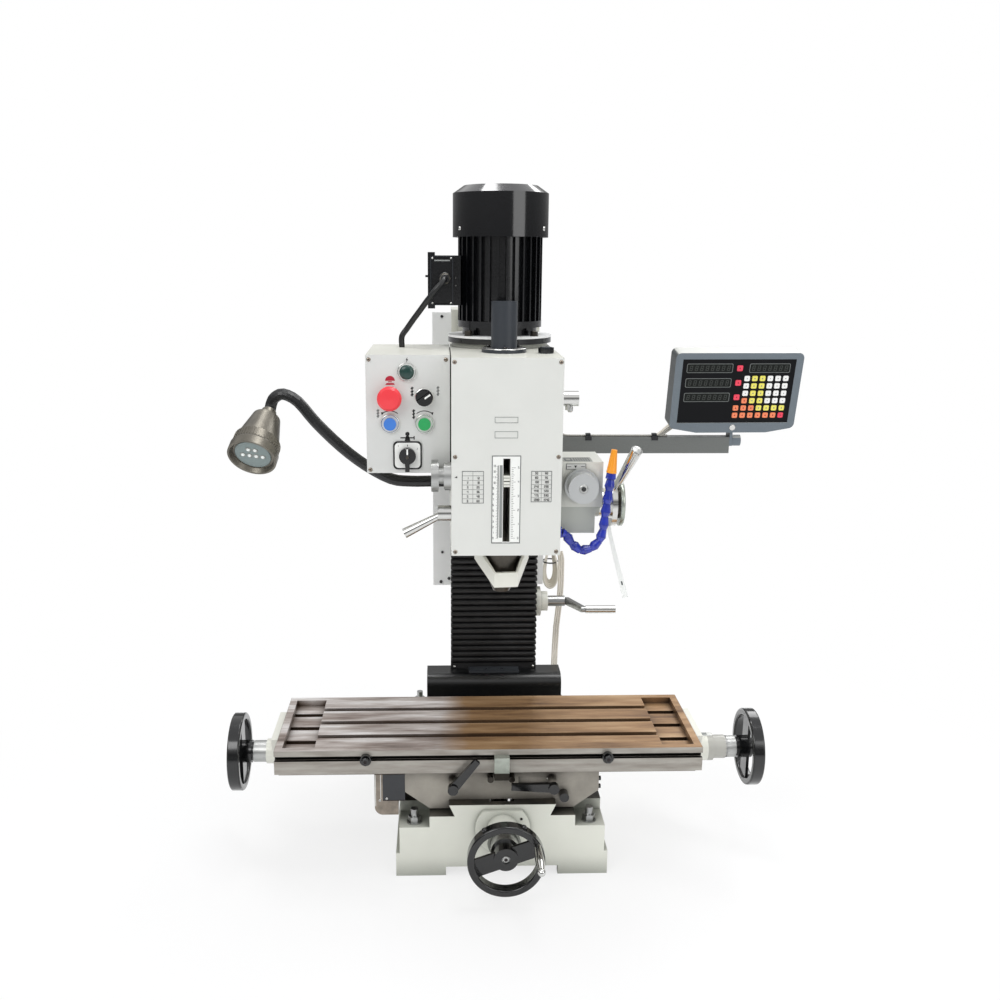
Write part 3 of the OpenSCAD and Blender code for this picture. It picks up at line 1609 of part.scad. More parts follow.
module spindle() {
    color("#77797b")
    difference() {
        union() {
            rod_z(spindle_d, quill_z - cut, quill_z + quill_l, 0, 0);
            rod_z(nose_d, nose_z + nose_cone, quill_z - seat_gap, 0, 0);
            translate([0, 0, nose_z])
                cylinder(d1 = nose_tip_d, d2 = nose_d, h = nose_cone);
            rod_z(drawbar_d * 1.6, quill_z + quill_l - cut, spindle_top, 0, 0);
        }
        translate([0, 0, nose_z - cut / 10])
            cylinder(d1 = taper_d, d2 = taper_small_d, h = taper_l);
        rod_z(drawbar_d, nose_z, spindle_top + cut, 0, 0);
    }
}

// Readout
module readout_arm() {
    x1 = pivot_x + arm_l;
    color("#6f7170") {
        difference() {
            union() {
                block(pivot_x, x1, pivot_y - arm_t / 2, pivot_y + arm_t / 2, arm_z,
                    arm_z + arm_h);
                rod_z(arm_t, arm_z, arm_z + arm_h, pivot_x, pivot_y);
            }
            rod_z(pivot_d + 2 * run_gap, arm_z - cut, arm_z + arm_h + cut, pivot_x, pivot_y);
            rod_x(tilt_shaft_d + 2 * run_gap, x1 - arm_h, x1 + cut, pivot_y, tilt_z);
        }
    }
}
module dro_place() {
    translate(dro_center)
        rotate([0, 0, dro_yaw])
            rotate([dro_pitch, 0, 0])
                rotate([90, 0, 0])
                    children();
}
module readout_housing() {
    x1 = pivot_x + arm_l + slide_gap;
    color("#7d8790") {
        difference() {
            dro_place()
                translate([0, 0, -dro_t])
                    linear_extrude(dro_t)
                        union() {
                            round_rect(dro_w, dro_h, dro_r);
                            polygon([
                                [-dro_w * 0.46, -dro_h / 2], [-dro_w * 0.35, cut - dro_h / 2],
                                [dro_w * 0.35, cut - dro_h / 2], [dro_w * 0.46, -dro_h / 2],
                                [dro_w * 0.28, -dro_h / 2 - dro_bow],
                                [-dro_w * 0.28, -dro_h / 2 - dro_bow]
                            ]);
                        }
            dro_place()
                translate([0, 0, -dro_face_inset])
                    linear_extrude(dro_face_inset + cut)
                        square([dro_face_w, dro_face_h], center = true);
        }
        rod_x(tilt_shaft_d, x1 - arm_h + cut, x1 + tilt_plate_t + cut, pivot_y, tilt_z);
        block(x1, x1 + tilt_plate_t, pivot_y - arm_t / 2, pivot_y + arm_t / 2,
            tilt_z - tilt_shaft_d, arm_z + arm_h + arm_t);
    }
    color("#1a1a1c")
    rod_x(tilt_knob_d, x1 + tilt_plate_t, x1 + tilt_plate_t + tilt_knob_l, pivot_y, tilt_z);
}
module readout_panel() {
    color("#111214")
    dro_place()
        translate([0, 0, -dro_face_inset + seat_gap / 10])
            linear_extrude(dro_face_t)
                square([dro_face_w - 2 * slide_gap, dro_face_h - 2 * slide_gap],
                    center = true);
}

// White scale cable: a lead down the column, a tied hank of loops and a tail to the base
function hank_point(t) =
    let(
        a = 90 - 360 * t, s = sin(a),
        w = hank_w / 2 * (1 - hank_pinch_share * (s + 1) / 2) * (1 - hank_narrowing * t),
        h = hank_h / 2 * (s < 0 ? 1 - hank_lift * t : 1)
    )
    [hank_x + w * cos(a), hank_y + hank_pitch * t, hank_z + h * s];
hank_curve = concat(
    curve(lead_points, 2),
    [for (k = [0:hank_loops * hank_steps]) hank_point(k / hank_steps)],
    curve(tail_points, 2)
);
hank_gap = min([for (i = [0:len(hank_curve) - 1], j = [i + 6:1:len(hank_curve) - 1])
    norm(hank_curve[i] - hank_curve[j])]) - white_d;
function run_length(p) = let(s = [for (i = [1:len(p) - 1]) norm(p[i] - p[i - 1])])
    s * [for (k = s) 1];
echo(str("least gap between the hank's turns, mm: ", hank_gap));
echo(str("lengths of white, readout and motor cables, mm: ", run_length(hank_curve), ", ",
    run_length(curve(arm_cable_points, 2)), ", ", run_length(curve(motor_cable_points, 3))));
module cable_hank() {
    color("#e8e4da")
    tube(hank_curve, white_d, 6, [0, 1, 0]);
}
module readout_cable() {
    color("#cfcfc8")
    tube(curve(arm_cable_points, 2), white_d, 8, [0, 0, 1]);
}

base_casting();
hold_down_studs();
column();
column_covers();
crank_bracket();
bellows();
way_apron();
apron_clamp_bar();
readout_bracket();
cable_hank();
y_screw();
y_handwheel();
y_handle();
saddle();
saddle_stops();
saddle_side_cover();
table_lock_lever();
saddle_lock_lever();
gib_knob();
table();
table_end_brackets();
left_dog();
right_dog();
x_screw();
x_handwheels();
z_screw();
z_crank();
z_crank_handle();
carriage();
head_casting();
head_plate();
spindle_cap();
motor_shell();
motor_cowl();
motor_rotor();
terminal_box();
motor_cable();
control_box();
control_panel();
estop_button();
blue_button();
green_button();
jog_selector();
cam_switch();
gooseneck();
lamp_head();
feed_dial();
feed_lever();
speed_knob();
feed_box();
feed_knob();
quill_lever_hub();
coolant_hose();
quill();
quill_collar();
spindle();
readout_arm();
readout_cable();
readout_housing();
readout_panel();
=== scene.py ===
"""Looks of the mill drill: camera, cords, materials, fittings, floor and light."""
from math import cos, hypot, pi, radians, sin

import bpy
from mathutils import Matrix, Vector


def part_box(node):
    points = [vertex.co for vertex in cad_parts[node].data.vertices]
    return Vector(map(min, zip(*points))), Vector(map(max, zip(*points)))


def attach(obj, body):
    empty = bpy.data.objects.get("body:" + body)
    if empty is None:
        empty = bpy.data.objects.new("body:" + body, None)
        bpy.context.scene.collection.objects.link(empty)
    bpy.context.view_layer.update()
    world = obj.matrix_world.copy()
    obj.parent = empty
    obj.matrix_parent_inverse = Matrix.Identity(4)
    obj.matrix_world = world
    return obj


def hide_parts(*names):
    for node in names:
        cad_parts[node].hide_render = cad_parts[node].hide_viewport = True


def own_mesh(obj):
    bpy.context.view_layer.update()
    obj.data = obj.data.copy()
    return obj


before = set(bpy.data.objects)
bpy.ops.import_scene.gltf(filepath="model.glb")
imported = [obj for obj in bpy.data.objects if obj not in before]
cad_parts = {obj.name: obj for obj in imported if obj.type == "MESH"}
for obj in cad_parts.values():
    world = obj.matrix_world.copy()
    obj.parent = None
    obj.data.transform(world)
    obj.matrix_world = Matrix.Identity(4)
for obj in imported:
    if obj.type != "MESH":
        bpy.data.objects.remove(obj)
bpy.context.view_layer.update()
MM = 0.001
scene = bpy.context.scene
UP, FRONT, RIGHT = (0, 0, 1), (0, -1, 0), (1, 0, 0)


def in_scene(name, data):
    obj = bpy.data.objects.new(name, data)
    bpy.context.collection.objects.link(obj)
    return obj


# Camera, solved from the photograph
CAM_AT = Vector((-0.1147, -1.8716, 1.1468))
CAM_YAW = radians(1.8667)
CAM_PITCH = radians(13.2241)
CAM_ROLL = radians(0.2716)


def add_camera():
    cy, sy = cos(CAM_YAW), sin(CAM_YAW)
    cp, sp = cos(CAM_PITCH), sin(CAM_PITCH)
    ahead = Vector((sy * cp, cy * cp, -sp))
    level = Vector((cy, -sy, 0))
    upright = level.cross(ahead)
    cr, sr = cos(CAM_ROLL), sin(CAM_ROLL)
    right = cr * level + sr * upright
    up = -sr * level + cr * upright
    data = bpy.data.cameras.new("camera")
    data.sensor_width = 36
    data.lens = 36.98
    data.shift_x = 0.0264
    data.shift_y = 0.0014
    data.clip_end = 50
    cam = in_scene("camera", data)
    turn = Matrix((right, up, -ahead)).transposed()
    cam.matrix_world = Matrix.Translation(CAM_AT) @ turn.to_4x4()
    scene.camera = cam


add_camera()


# Materials
def linear(code):
    code = code.lstrip("#")
    out = []
    for i in (0, 2, 4):
        c = int(code[i:i + 2], 16) / 255
        out.append(c / 12.92 if c <= 0.04045 else ((c + 0.055) / 1.055) ** 2.4)
    return (*out, 1.0)


def shade(colour, k):
    return tuple(min(1.0, c * k) for c in colour[:3]) + (1.0,)


def grey(value):
    return (value, value, value, 1)


def tones(*stops):
    return [(at, linear(code)) for at, code in stops]


# Half the width of an edge between two colours, in metres
HALF_EDGE = 0.0005


class Tree:
    """Short calls for the nodes of a material or of the world."""

    def __init__(self, tree):
        self.tree = tree
        self.coord = None

    def node(self, kind, **values):
        n = self.tree.nodes.new("ShaderNode" + kind)
        for k, v in values.items():
            setattr(n, k, v)
        return n

    def feed(self, socket, value):
        """Give an input a value, or link another socket to it."""
        if isinstance(value, bpy.types.NodeSocket):
            self.tree.links.new(value, socket)
        else:
            socket.default_value = value

    def made(self, kind, inputs, output=0, **values):
        """One output of a new node, whose inputs are fed."""
        n = self.node(kind, **values)
        for key, value in inputs.items():
            self.feed(n.inputs[key], value)
        return n.outputs[output]

    def place(self, stretch=(1, 1, 1)):
        if self.coord is None:
            self.coord = self.node("TexCoord").outputs["Object"]
        return self.made("Mapping", {"Scale": stretch, "Vector": self.coord})

    def noise(self, scale, detail=4.0, stretch=(1, 1, 1), rough=0.55):
        return self.made("TexNoise", {"Scale": scale, "Detail": detail, "Roughness": rough,
                                      "Vector": self.place(stretch)}, "Fac")

    def ramp(self, factor, stops):
        r = self.node("ValToRGB")
        cells = r.color_ramp.elements
        cells[0].position, cells[0].color = stops[0]
        cells[1].position, cells[1].color = stops[-1]
        for at, colour in stops[1:-1]:
            cells.new(at).color = colour
        self.feed(r.inputs["Fac"], factor)
        return r.outputs["Color"]

    def span(self, value, low, high, at_low=0.0, at_high=1.0):
        return self.made("MapRange", {"Value": value, "From Min": low, "From Max": high,
                                      "To Min": at_low, "To Max": at_high}, "Result")

    def maths(self, operation, *values):
        return self.made("Math", dict(enumerate(values)), operation=operation)

    def both(self, a, b):
        return self.maths("MULTIPLY", a, b)

    def mix(self, factor, a, b):
        return self.made("Mix", {"Factor": factor, "A": a, "B": b}, "Result", data_type="RGBA")

    def mix_shader(self, factor, a, b):
        return self.made("MixShader", {0: factor, 1: a, 2: b})

    def above(self, axis, value):
        """One above a height along an object axis, nought below it."""
        along = self.made("SeparateXYZ", {"Vector": self.place()}, axis)
        return self.span(along, value - HALF_EDGE, value + HALF_EDGE)

    def below(self, axis, value):
        return self.maths("SUBTRACT", 1.0, self.above(axis, value))

    def facing(self, way):
        """One where the surface faces a way of the world, nought elsewhere."""
        normal = self.node("NewGeometry").outputs["True Normal"]
        dot = self.made("VectorMath", {0: normal, 1: way}, "Value", operation="DOT_PRODUCT")
        return self.span(dot, 0.5, 0.65)


class Shader(Tree):
    """One procedural material, built up from a Principled shader."""

    def __init__(self, name, colour, rough, metal=0.0, coat=0.0):
        self.m = bpy.data.materials.new(name)
        self.m.use_nodes = True
        super().__init__(self.m.node_tree)
        self.base = linear(colour)
        self.bsdf = self.tree.nodes["Principled BSDF"]
        for key, value in (("Base Color", self.base), ("Roughness", rough), ("Metallic", metal),
                           ("Coat Weight", coat), ("Coat Roughness", 0.08)):
            self.set(key, value)

    def set(self, key, value):
        self.feed(self.bsdf.inputs[key], value)
        return self

    def mottle(self, scale, low, high):
        """Blotches between two shades of the base colour."""
        return self.set("Base Color", self.ramp(self.noise(scale), [
            (0.35, shade(self.base, low)), (0.65, shade(self.base, high))]))

    def wear(self, scale, low, high):
        return self.set("Roughness", self.ramp(self.noise(scale), [
            (0.3, grey(low)), (0.7, grey(high))]))

    def grain(self, scale, strength, distance, stretch=(1, 1, 1)):
        """A bump on top of those already there."""
        inputs = {"Strength": strength, "Distance": distance,
                  "Height": self.noise(scale, stretch=stretch)}
        under = self.bsdf.inputs["Normal"].links
        if under:
            inputs["Normal"] = under[0].from_socket
        return self.set("Normal", self.made("Bump", inputs, "Normal"))

    def blend_in(self, factor, colour):
        """Lay a colour or a colour socket over the base colour by a factor."""
        links = self.bsdf.inputs["Base Color"].links
        under = links[0].from_socket if links else self.base
        over = linear(colour) if isinstance(colour, str) else colour
        return self.set("Base Color", self.mix(factor, under, over))

    def painted_shade(self, distance, colour, full, none):
        """Painted shade: darker where the surface is closed in, by ambient occlusion."""
        ao = self.made("AmbientOcclusion", {"Distance": distance}, "AO", samples=8)
        return self.blend_in(self.span(ao, full, none, 1.0, 0.0), colour)


# Where the table brackets' paint ends, in metres
BARE_NECK_X = 0.412


# Name, colour, roughness, metal and coat of the materials without a pattern
# Of these, the near-black gap material is painted shade: dark discs and strips standing for
# holes, sockets, vents and seams.
PLAIN_MATS = """
screw_dark #8d8378 0.2 1
lead_white #f2f4f1 0.4
chrome #d2d2cf 0.09 1
black_plastic #090a0b 0.16 0 0.45
grey_sheath #9c9a93 0.4
red_plastic #ee3b44 0.32 0 0.2
blue_plastic #3c7bd2 0.3 0 0.3
green_plastic #1fa257 0.3 0 0.3
lens_green #123a33 0.3 0 0.3
nozzle_plastic #f29a1c 0.3 0 0.2
neck_sheath #101113 0.38 0 0.1
window_rim #6f7472 0.4
segment #262c27 0.3
key_white #f4f4f2 0.4
key_yellow #f0e768 0.4
key_orange #f58a5c 0.4
key_red #f0405a 0.4
ink_black #101012 0.5
ink_grey #8b8e8c 0.5
ink_dim #55595a 0.5
ink_red #b01030 0.5
label_white #f1f2ee 0.4
label_grey #8e908b 0.42
label_silver #d8d9d6 0.3 0.5
dark_gap #1a1012 0.7
reflector #7f8c8b 0.3 0.3
"""


def make_materials():
    mats = {}

    def add(name, colour, rough, metal=0.0, coat=0.0):
        mats[name] = Shader(name, colour, rough, metal, coat)
        return mats[name]

    for row in PLAIN_MATS.strip().splitlines():
        name, colour, *values = row.split()
        add(name, colour, *map(float, values))
    # The ambient-occlusion calls from here on paint shade into the colour: darker where a surface
    # is closed in.
    cream = add("cream_paint", "#e6e6dc", 0.38, coat=0.25)
    cream.mottle(9, 0.95, 1.0).grain(260, 0.12, 0.0003).painted_shade(0.03, "#8f9087", 0.3, 0.8)
    base = add("base_paint", "#e3e4d9", 0.4, coat=0.2).mottle(7, 0.94, 1.0)
    base.grain(200, 0.15, 0.0004).painted_shade(0.06, "#7d8077", 0.3, 0.9)
    # Above the deck and behind the front edge the base goes near-black: partly oil on the bare
    # ways, partly painted shade under the saddle and table.
    oily_shaded_deck = base.both(base.above("Z", 0.1236), base.above("Y", -0.1194))
    base.blend_in(oily_shaded_deck, base.ramp(base.noise(30), tones((0.4, "#15140f"), (0.7, "#3d382e"))))
    box = add("feed_box_paint", "#dcddd6", 0.36, coat=0.2).mottle(12, 0.95, 1.0)
    box.painted_shade(0.02, "#8c8e88", 0.3, 0.8)
    box.blend_in(box.below("Z", 0.7095), "#b4b7b0")
    add("pale_paint", "#f3f4f3", 0.42, coat=0.1).grain(300, 0.1, 0.0003)
    add("plate_film", "#dcddd8", 0.4, coat=0.1).mottle(14, 0.975, 1.0).grain(900, 0.08, 0.0001)
    add("black_paint", "#08090c", 0.24, coat=0.4).grain(150, 0.35, 0.0005)
    add("cowl_paint", "#08090c", 0.14, coat=0.8).grain(22, 0.25, 0.0012)
    add("dark_paint", "#24272c", 0.32, coat=0.3).mottle(12, 0.8, 1.1)
    add("cover_tan", "#8d8377", 0.3, metal=0.3).mottle(60, 0.72, 1.12)
    add("arm_paint", "#6c6f6d", 0.45).mottle(400, 0.92, 1.06).grain(500, 0.2, 0.0002)
    iron = add("ground_iron", "#96908a", 0.34, metal=0.6)
    iron.mottle(18, 0.72, 1.05).wear(30, 0.28, 0.5)
    iron.grain(500, 0.25, 0.0002, (1, 1, 0.15))
    scraped = add("scraped_iron", "#a29d93", 0.4, metal=0.3).mottle(14, 0.76, 1.06)
    scraped.wear(24, 0.3, 0.55).grain(260, 0.6, 0.0005, (1.0, 0.4, 0.18))
    scraped.painted_shade(0.04, "#2a251f", 0.25, 0.85)
    steel = add("steel", "#b0b1b0", 0.28, metal=1.0).mottle(40, 0.85, 1.04)
    steel.grain(700, 0.15, 0.0001, (1, 1, 0.1))
    add("dark_steel", "#57534d", 0.32, metal=0.9).mottle(30, 0.6, 1.1)
    add("satin_steel", "#bcbdbb", 0.36, metal=0.9).grain(600, 0.15, 0.0001, (0.1, 1, 1))
    stops = add("stop_steel", "#aab0a6", 0.22, metal=0.6).mottle(50, 0.8, 1.1)
    stops.blend_in(stops.below("Z", 0.2195), "#3b3731")
    brackets = add("bracket_paint", "#e6e6dc", 0.38, coat=0.2)
    brackets.blend_in(brackets.above("X", BARE_NECK_X), "#b4b3ac")
    add("aluminium", "#c4c6c6", 0.34, metal=0.7).grain(900, 0.12, 0.0001, (0.05, 1, 1))
    panel = add("panel_face", "#d9dad7", 0.42, metal=0.1).mottle(6, 0.93, 1.03)
    panel.grain(700, 0.12, 0.0001, (1, 1, 0.04))
    add("black_satin", "#15161a", 0.4, coat=0.1).grain(200, 0.2, 0.0003)
    rubber = add("black_rubber", "#131314", 0.5)
    rubber.mottle(30, 0.7, 1.7).grain(350, 0.25, 0.0003)
    add("apron_rubber", "#08090b", 0.34, coat=0.15).grain(180, 0.25, 0.0004)
    add("clamp_paint", "#33363a", 0.42).grain(240, 0.25, 0.0003)
    add("cap_paint", "#2b3037", 0.42, coat=0.1).grain(200, 0.2, 0.0003)
    add("white_sheath", "#e6e0d3", 0.42).mottle(60, 0.88, 1.0)
    hose = add("hose_plastic", "#1b2fa8", 0.2, coat=0.6).mottle(60, 0.7, 1.1)
    hose.painted_shade(0.008, "#050a36", 0.4, 0.95)
    add("lamp_metal", "#6f6b62", 0.34, metal=0.7).mottle(20, 0.8, 1.15)
    case = add("readout_case", "#6a747c", 0.42).mottle(500, 0.94, 1.05)
    case.grain(600, 0.25, 0.0002)
    # Painted light: the top of the case is painted lighter and its left side darker, as the light
    # falls on it.
    case.blend_in(case.facing(UP), "#c4c5c0")
    case.blend_in(case.facing((-1, 0, 0)), "#45494a")
    add("readout_face", "#05060a", 0.3).set("Specular IOR Level", 0.15)
    add("window", "#101411", 0.2).set("Specular IOR Level", 0.2)
    # Painted glint: the faint glow of the LEDs stands for the highlights on them.
    led = add("led", "#e9efec", 0.2, coat=0.4)
    led.set("Emission Color", grey(1)).set("Emission Strength", 0.12)
    table_film(add("table_film", "#b0a8a2", 0.3, metal=0.35))
    return {k: s.m for k, s in mats.items()}


# The table top's front edge, its floor, its two ends and the dog slot, in metres
TOP_FRONT, TOP_LOW, TOP_LEFT, TOP_RIGHT = -0.1194, 0.2385, -0.4249, 0.3739
SLOT_BACK, SLOT_HIGH = -0.1, 0.2515


def table_film(s):
    """The table: ground edges, and a top under oiled paper with a silvery film on its left, whose
    sheen and wrinkle shade are painted into its colour.
    """
    across = s.made("SeparateXYZ", {"Vector": s.place()}, "X")
    side = s.span(s.maths("MULTIPLY_ADD", s.noise(7, 3), 0.10, across), -0.06, -0.01)
    streaks = s.noise(9, 6, (0.5, 4.0, 1), 0.6)
    # The film's near-white streaks are painted sheen, and its darkest ones painted shade in its
    # wrinkles.
    film = s.ramp(streaks, tones((0.3, "#5f5149"), (0.42, "#9a8c84"), (0.55, "#cbc3be"),
                                 (0.66, "#efecea"), (0.8, "#85776f")))
    paper = s.ramp(streaks, tones((0.28, "#664a32"), (0.5, "#a8845f"), (0.72, "#cbab85")))
    s.set("Base Color", s.mix(side, film, paper))
    # Painted shade: darker where the top is closed in, in its troughs and slots.
    s.painted_shade(0.03, "#4a3a2d", 0.35, 0.95)
    # the ground sides: outside the top's border, and below its slots
    inner = s.both(s.both(s.above("Y", TOP_FRONT), s.above("Z", TOP_LOW)),
                   s.both(s.above("X", TOP_LEFT), s.below("X", TOP_RIGHT)))
    edge = s.ramp(s.noise(26, 4, (0.4, 1, 3)), tones((0.35, "#8e8880"), (0.65, "#aaa69e")))
    s.blend_in(s.maths("SUBTRACT", 1.0, inner), edge)
    # Painted shade: the inside of the dog slot along the front is painted near-black.
    slot = s.both(s.both(s.above("Y", TOP_FRONT), s.below("Y", SLOT_BACK)),
                  s.both(s.above("Z", TOP_LOW), s.below("Z", SLOT_HIGH)))
    s.blend_in(slot, "#14120f")
    s.grain(16, 0.45, 0.003, (0.8, 2.4, 1))
    s.grain(120, 0.35, 0.0006, (1, 0.5, 1))


MATS = make_materials()

# A material, and the nodes that have it
NODE_MATS = """
base_paint base_casting
steel hold_down_studs y_screw z_crank
cream_paint column crank_bracket head_casting control_box quill_collar
pale_paint column_covers
black_rubber bellows
apron_rubber way_apron
clamp_paint apron_clamp_bar
arm_paint readout_bracket readout_arm
white_sheath cable_hank
black_plastic y_handwheel table_lock_lever saddle_lock_lever gib_knob left_dog right_dog
black_plastic x_handwheels jog_selector cam_switch
chrome y_handle z_crank_handle feed_lever speed_knob quill_lever_hub
scraped_iron saddle
stop_steel saddle_stops
cover_tan saddle_side_cover
table_film table
bracket_paint table_end_brackets
satin_steel x_screw feed_dial
dark_steel z_screw motor_rotor quill spindle
ground_iron carriage
plate_film head_plate
cap_paint spindle_cap
black_paint motor_shell terminal_box
cowl_paint motor_cowl
neck_sheath motor_cable gooseneck
panel_face control_panel
red_plastic estop_button
blue_plastic blue_button
green_plastic green_button
lamp_metal lamp_head
feed_box_paint feed_box
aluminium feed_knob
hose_plastic coolant_hose
grey_sheath readout_cable
readout_case readout_housing
readout_face readout_panel
"""


def dress_nodes():
    for row in NODE_MATS.strip().splitlines():
        mat, *nodes = row.split()
        for node in nodes:
            mesh = bpy.data.objects[node].data
            mesh.materials.clear()
            mesh.materials.append(MATS[mat])


dress_nodes()


def turned(p, axis):
    """A frame at p with its Z along an axis."""
    turn = Vector(UP).rotation_difference(Vector(axis)).to_matrix().to_4x4()
    return Matrix.Translation(Vector(p)) @ turn


def around(p, axis, n):
    """Frames at p, turned about an axis in n even steps."""
    at = turned(p, axis)
    return [at @ Matrix.Rotation(2 * pi * i / n, 4, "Z") for i in range(n)]


def ring_faces(rings, n):
    return [[k * n + i, k * n + (i + 1) % n, (k + 1) * n + (i + 1) % n, (k + 1) * n + i]
            for k in range(rings - 1) for i in range(n)]


def end_faces(rings, n):
    return [list(reversed(range(n))), [(rings - 1) * n + i for i in range(n)]]


# Pieces are built from simple solids, gathered in one mesh each, in millimetres
class Piece:
    def __init__(self, place=None):
        self.verts, self.faces, self.look, self.round = [], [], [], []
        self.mats = []
        self.place = place or Matrix.Identity(4)

    def index(self, mat):
        if mat not in self.mats:
            self.mats.append(mat)
        return self.mats.index(mat)

    def put(self, points, faces, mat, smooth=False, at=None):
        start = len(self.verts)
        m = self.place if at is None else self.place @ at
        self.verts += [m @ Vector(p) for p in points]
        self.faces += [[start + i for i in f] for f in faces]
        self.look += [self.index(mat)] * len(faces)
        self.round += [smooth] * len(faces)

    def lathe(self, profile, mat, p=(0, 0, 0), axis=UP, n=28, smooth=True, ring=False):
        """Turn (radius, height) pairs about an axis through p; a ring has no end discs."""
        at = turned(p, axis)
        pts = [(r * cos(2 * pi * i / n), r * sin(2 * pi * i / n), h)
               for r, h in profile for i in range(n)]
        self.put(pts, ring_faces(len(profile), n), mat, smooth, at)
        if not ring:
            self.put(pts, end_faces(len(profile), n), mat, False, at)

    def box(self, x0, x1, y0, y1, z0, z1, mat, at=None):
        pts = [(x, y, z) for z in (z0, z1) for y in (y0, y1) for x in (x0, x1)]
        faces = [[0, 2, 3, 1], [4, 5, 7, 6], [0, 1, 5, 4], [2, 6, 7, 3], [0, 4, 6, 2],
                 [1, 3, 7, 5]]
        self.put(pts, faces, mat, False, at)

    def slab(self, outline, y0, y1, mat, at=None):
        """A flat shape in the XZ plane between two depths."""
        n = len(outline)
        pts = [(x, y0, z) for x, z in outline] + [(x, y1, z) for x, z in outline]
        faces = [list(range(n)), [2 * n - 1 - i for i in range(n)]]
        faces += [[i, i + n, (i + 1) % n + n, (i + 1) % n] for i in range(n)]
        self.put(pts, faces, mat, False, at)

    def frame(self, x0, x1, z0, z1, t, y0, y1, mat):
        self.box(x0, x1, y0, y1, z0, z0 + t, mat)
        self.box(x0, x1, y0, y1, z1 - t, z1, mat)
        self.box(x0, x0 + t, y0, y1, z0 + t, z1 - t, mat)
        self.box(x1 - t, x1, y0, y1, z0 + t, z1 - t, mat)

    def tube(self, points, d, mat, n=10):
        pts = []
        line = [Vector(p) for p in points]
        side = None
        for i, p in enumerate(line):
            ahead = (line[min(i + 1, len(line) - 1)] - line[max(i - 1, 0)]).normalized()
            if side is None:
                side = ahead.orthogonal().normalized()
            side = (side - ahead * side.dot(ahead)).normalized()
            other = ahead.cross(side)
            for k in range(n):
                a = 2 * pi * k / n
                pts.append(p + (side * cos(a) + other * sin(a)) * d / 2)
        self.put(pts, ring_faces(len(line), n) + end_faces(len(line), n), mat, True)

    def make(self, name, body, slot):
        mesh = bpy.data.meshes.new(name)
        mesh.from_pydata([tuple(v * MM) for v in self.verts], [], self.faces)
        for m in self.mats:
            mesh.materials.append(MATS[m])
        mesh.polygons.foreach_set("material_index", self.look)
        mesh.polygons.foreach_set("use_smooth", self.round)
        mesh.update()
        obj = in_scene(name, mesh)
        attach(obj, body)
        return obj


def dome_screw(piece, p, axis, d, mat="chrome"):
    """A cross-slotted dome-head screw."""
    r, h = d / 2, d * 0.28
    arc = [(r * cos(a), h * sin(a)) for a in (0, 0.4, 0.8, 1.15)]
    piece.lathe(arc + [(r * 0.12, h)], mat, p, axis, 16)
    out = Vector(axis).normalized()
    # Painted shade: the cross slot is drawn as two black bars on the dome.
    at = turned(Vector(p) + out * h * 0.86, out)
    for x, y in ((0.42, 0.09), (0.09, 0.42)):
        piece.box(-r * x, r * x, -r * y, r * y, 0, h * 0.2, "ink_black", at)


def cap_screw(piece, p, axis, d, h):
    """A round-headed screw with a hexagon socket."""
    r = d / 2
    piece.lathe([(r, 0), (r, h * 0.85), (r * 0.88, h)], "black_plastic", p, axis, 20)
    # Painted shade: a dark hexagon stands for the socket.
    piece.lathe([(r * 0.48, 0), (r * 0.48, h * 0.06)], "dark_gap",
                Vector(p) + Vector(axis).normalized() * h * 0.97, axis, 6, False)


def hex_bolt(piece, p, axis, d, h):
    r = d / 2
    piece.lathe([(r * 1.15, 0), (r * 1.15, h * 0.18)], "dark_steel", p, axis, 24)
    piece.lathe([(r, h * 0.18), (r, h * 0.9), (r * 0.85, h)], "dark_steel", p, axis, 6, False)


# Cords. Points are in metres, as the CAD lays them
def smooth(points, steps):
    """Catmull-Rom through the points, as the CAD's own curves run."""
    pts = [Vector(p) for p in points]
    out = []
    for i in range(len(pts) - 1):
        p0 = pts[max(i - 1, 0)]
        p1, p2 = pts[i], pts[i + 1]
        p3 = pts[min(i + 2, len(pts) - 1)]
        for s in range(steps):
            t = s / steps
            out.append(0.5 * (2 * p1 + (p2 - p0) * t + (2 * p0 - 5 * p1 + 4 * p2 - p3) * t * t
                              + (3 * p1 - 3 * p2 + p3 - p0) * t ** 3))
    out.append(pts[-1])
    return out


def add_cord(name, node, body, slot, mat, route, d):
    """A cord along a route, from its first point, in place of a node."""
    piece = Piece()
    piece.tube([p / MM for p in route], d / MM, mat, 12)
    cable = piece.make(name, body, slot)
    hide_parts(node)


MOTOR_CORD_D, CORD_D = 0.011, 0.0046
MOTOR_CABLE = [
    (-0.106, 0.0938, 1.113), (-0.106, 0.082, 1.113), (-0.112, 0.074, 1.105),
    (-0.124, 0.072, 1.092), (-0.140, 0.078, 1.072), (-0.154, 0.088, 1.053),
    (-0.166, 0.096, 1.037), (-0.178, 0.100, 1.020), (-0.188, 0.100, 1.005),
    (-0.188, 0.100, 0.9852),
]
ARM_CABLE = [
    (0.121, 0.315, 0.7916), (0.128, 0.314, 0.7916), (0.135, 0.313, 0.7916),
    (0.142, 0.311, 0.7865), (0.149, 0.309, 0.7815), (0.159, 0.308, 0.7797),
    (0.190, 0.308, 0.7796), (0.240, 0.308, 0.7796), (0.290, 0.308, 0.7796),
    (0.335, 0.308, 0.7796), (0.356, 0.308, 0.7796), (0.374, 0.308, 0.7796),
]
LEAD = [
    (0.115, 0.315, 0.7916), (0.109, 0.319, 0.7916), (0.101, 0.327, 0.7916),
    (0.097, 0.3315, 0.7914), (0.095, 0.3346, 0.788), (0.0946, 0.335, 0.774),
    (0.0946, 0.335, 0.730),
    (0.0946, 0.335, 0.680), (0.0946, 0.335, 0.630), (0.095, 0.336, 0.585),
    (0.099, 0.336, 0.556), (0.108, 0.336, 0.533), (0.119, 0.336, 0.5195),
]
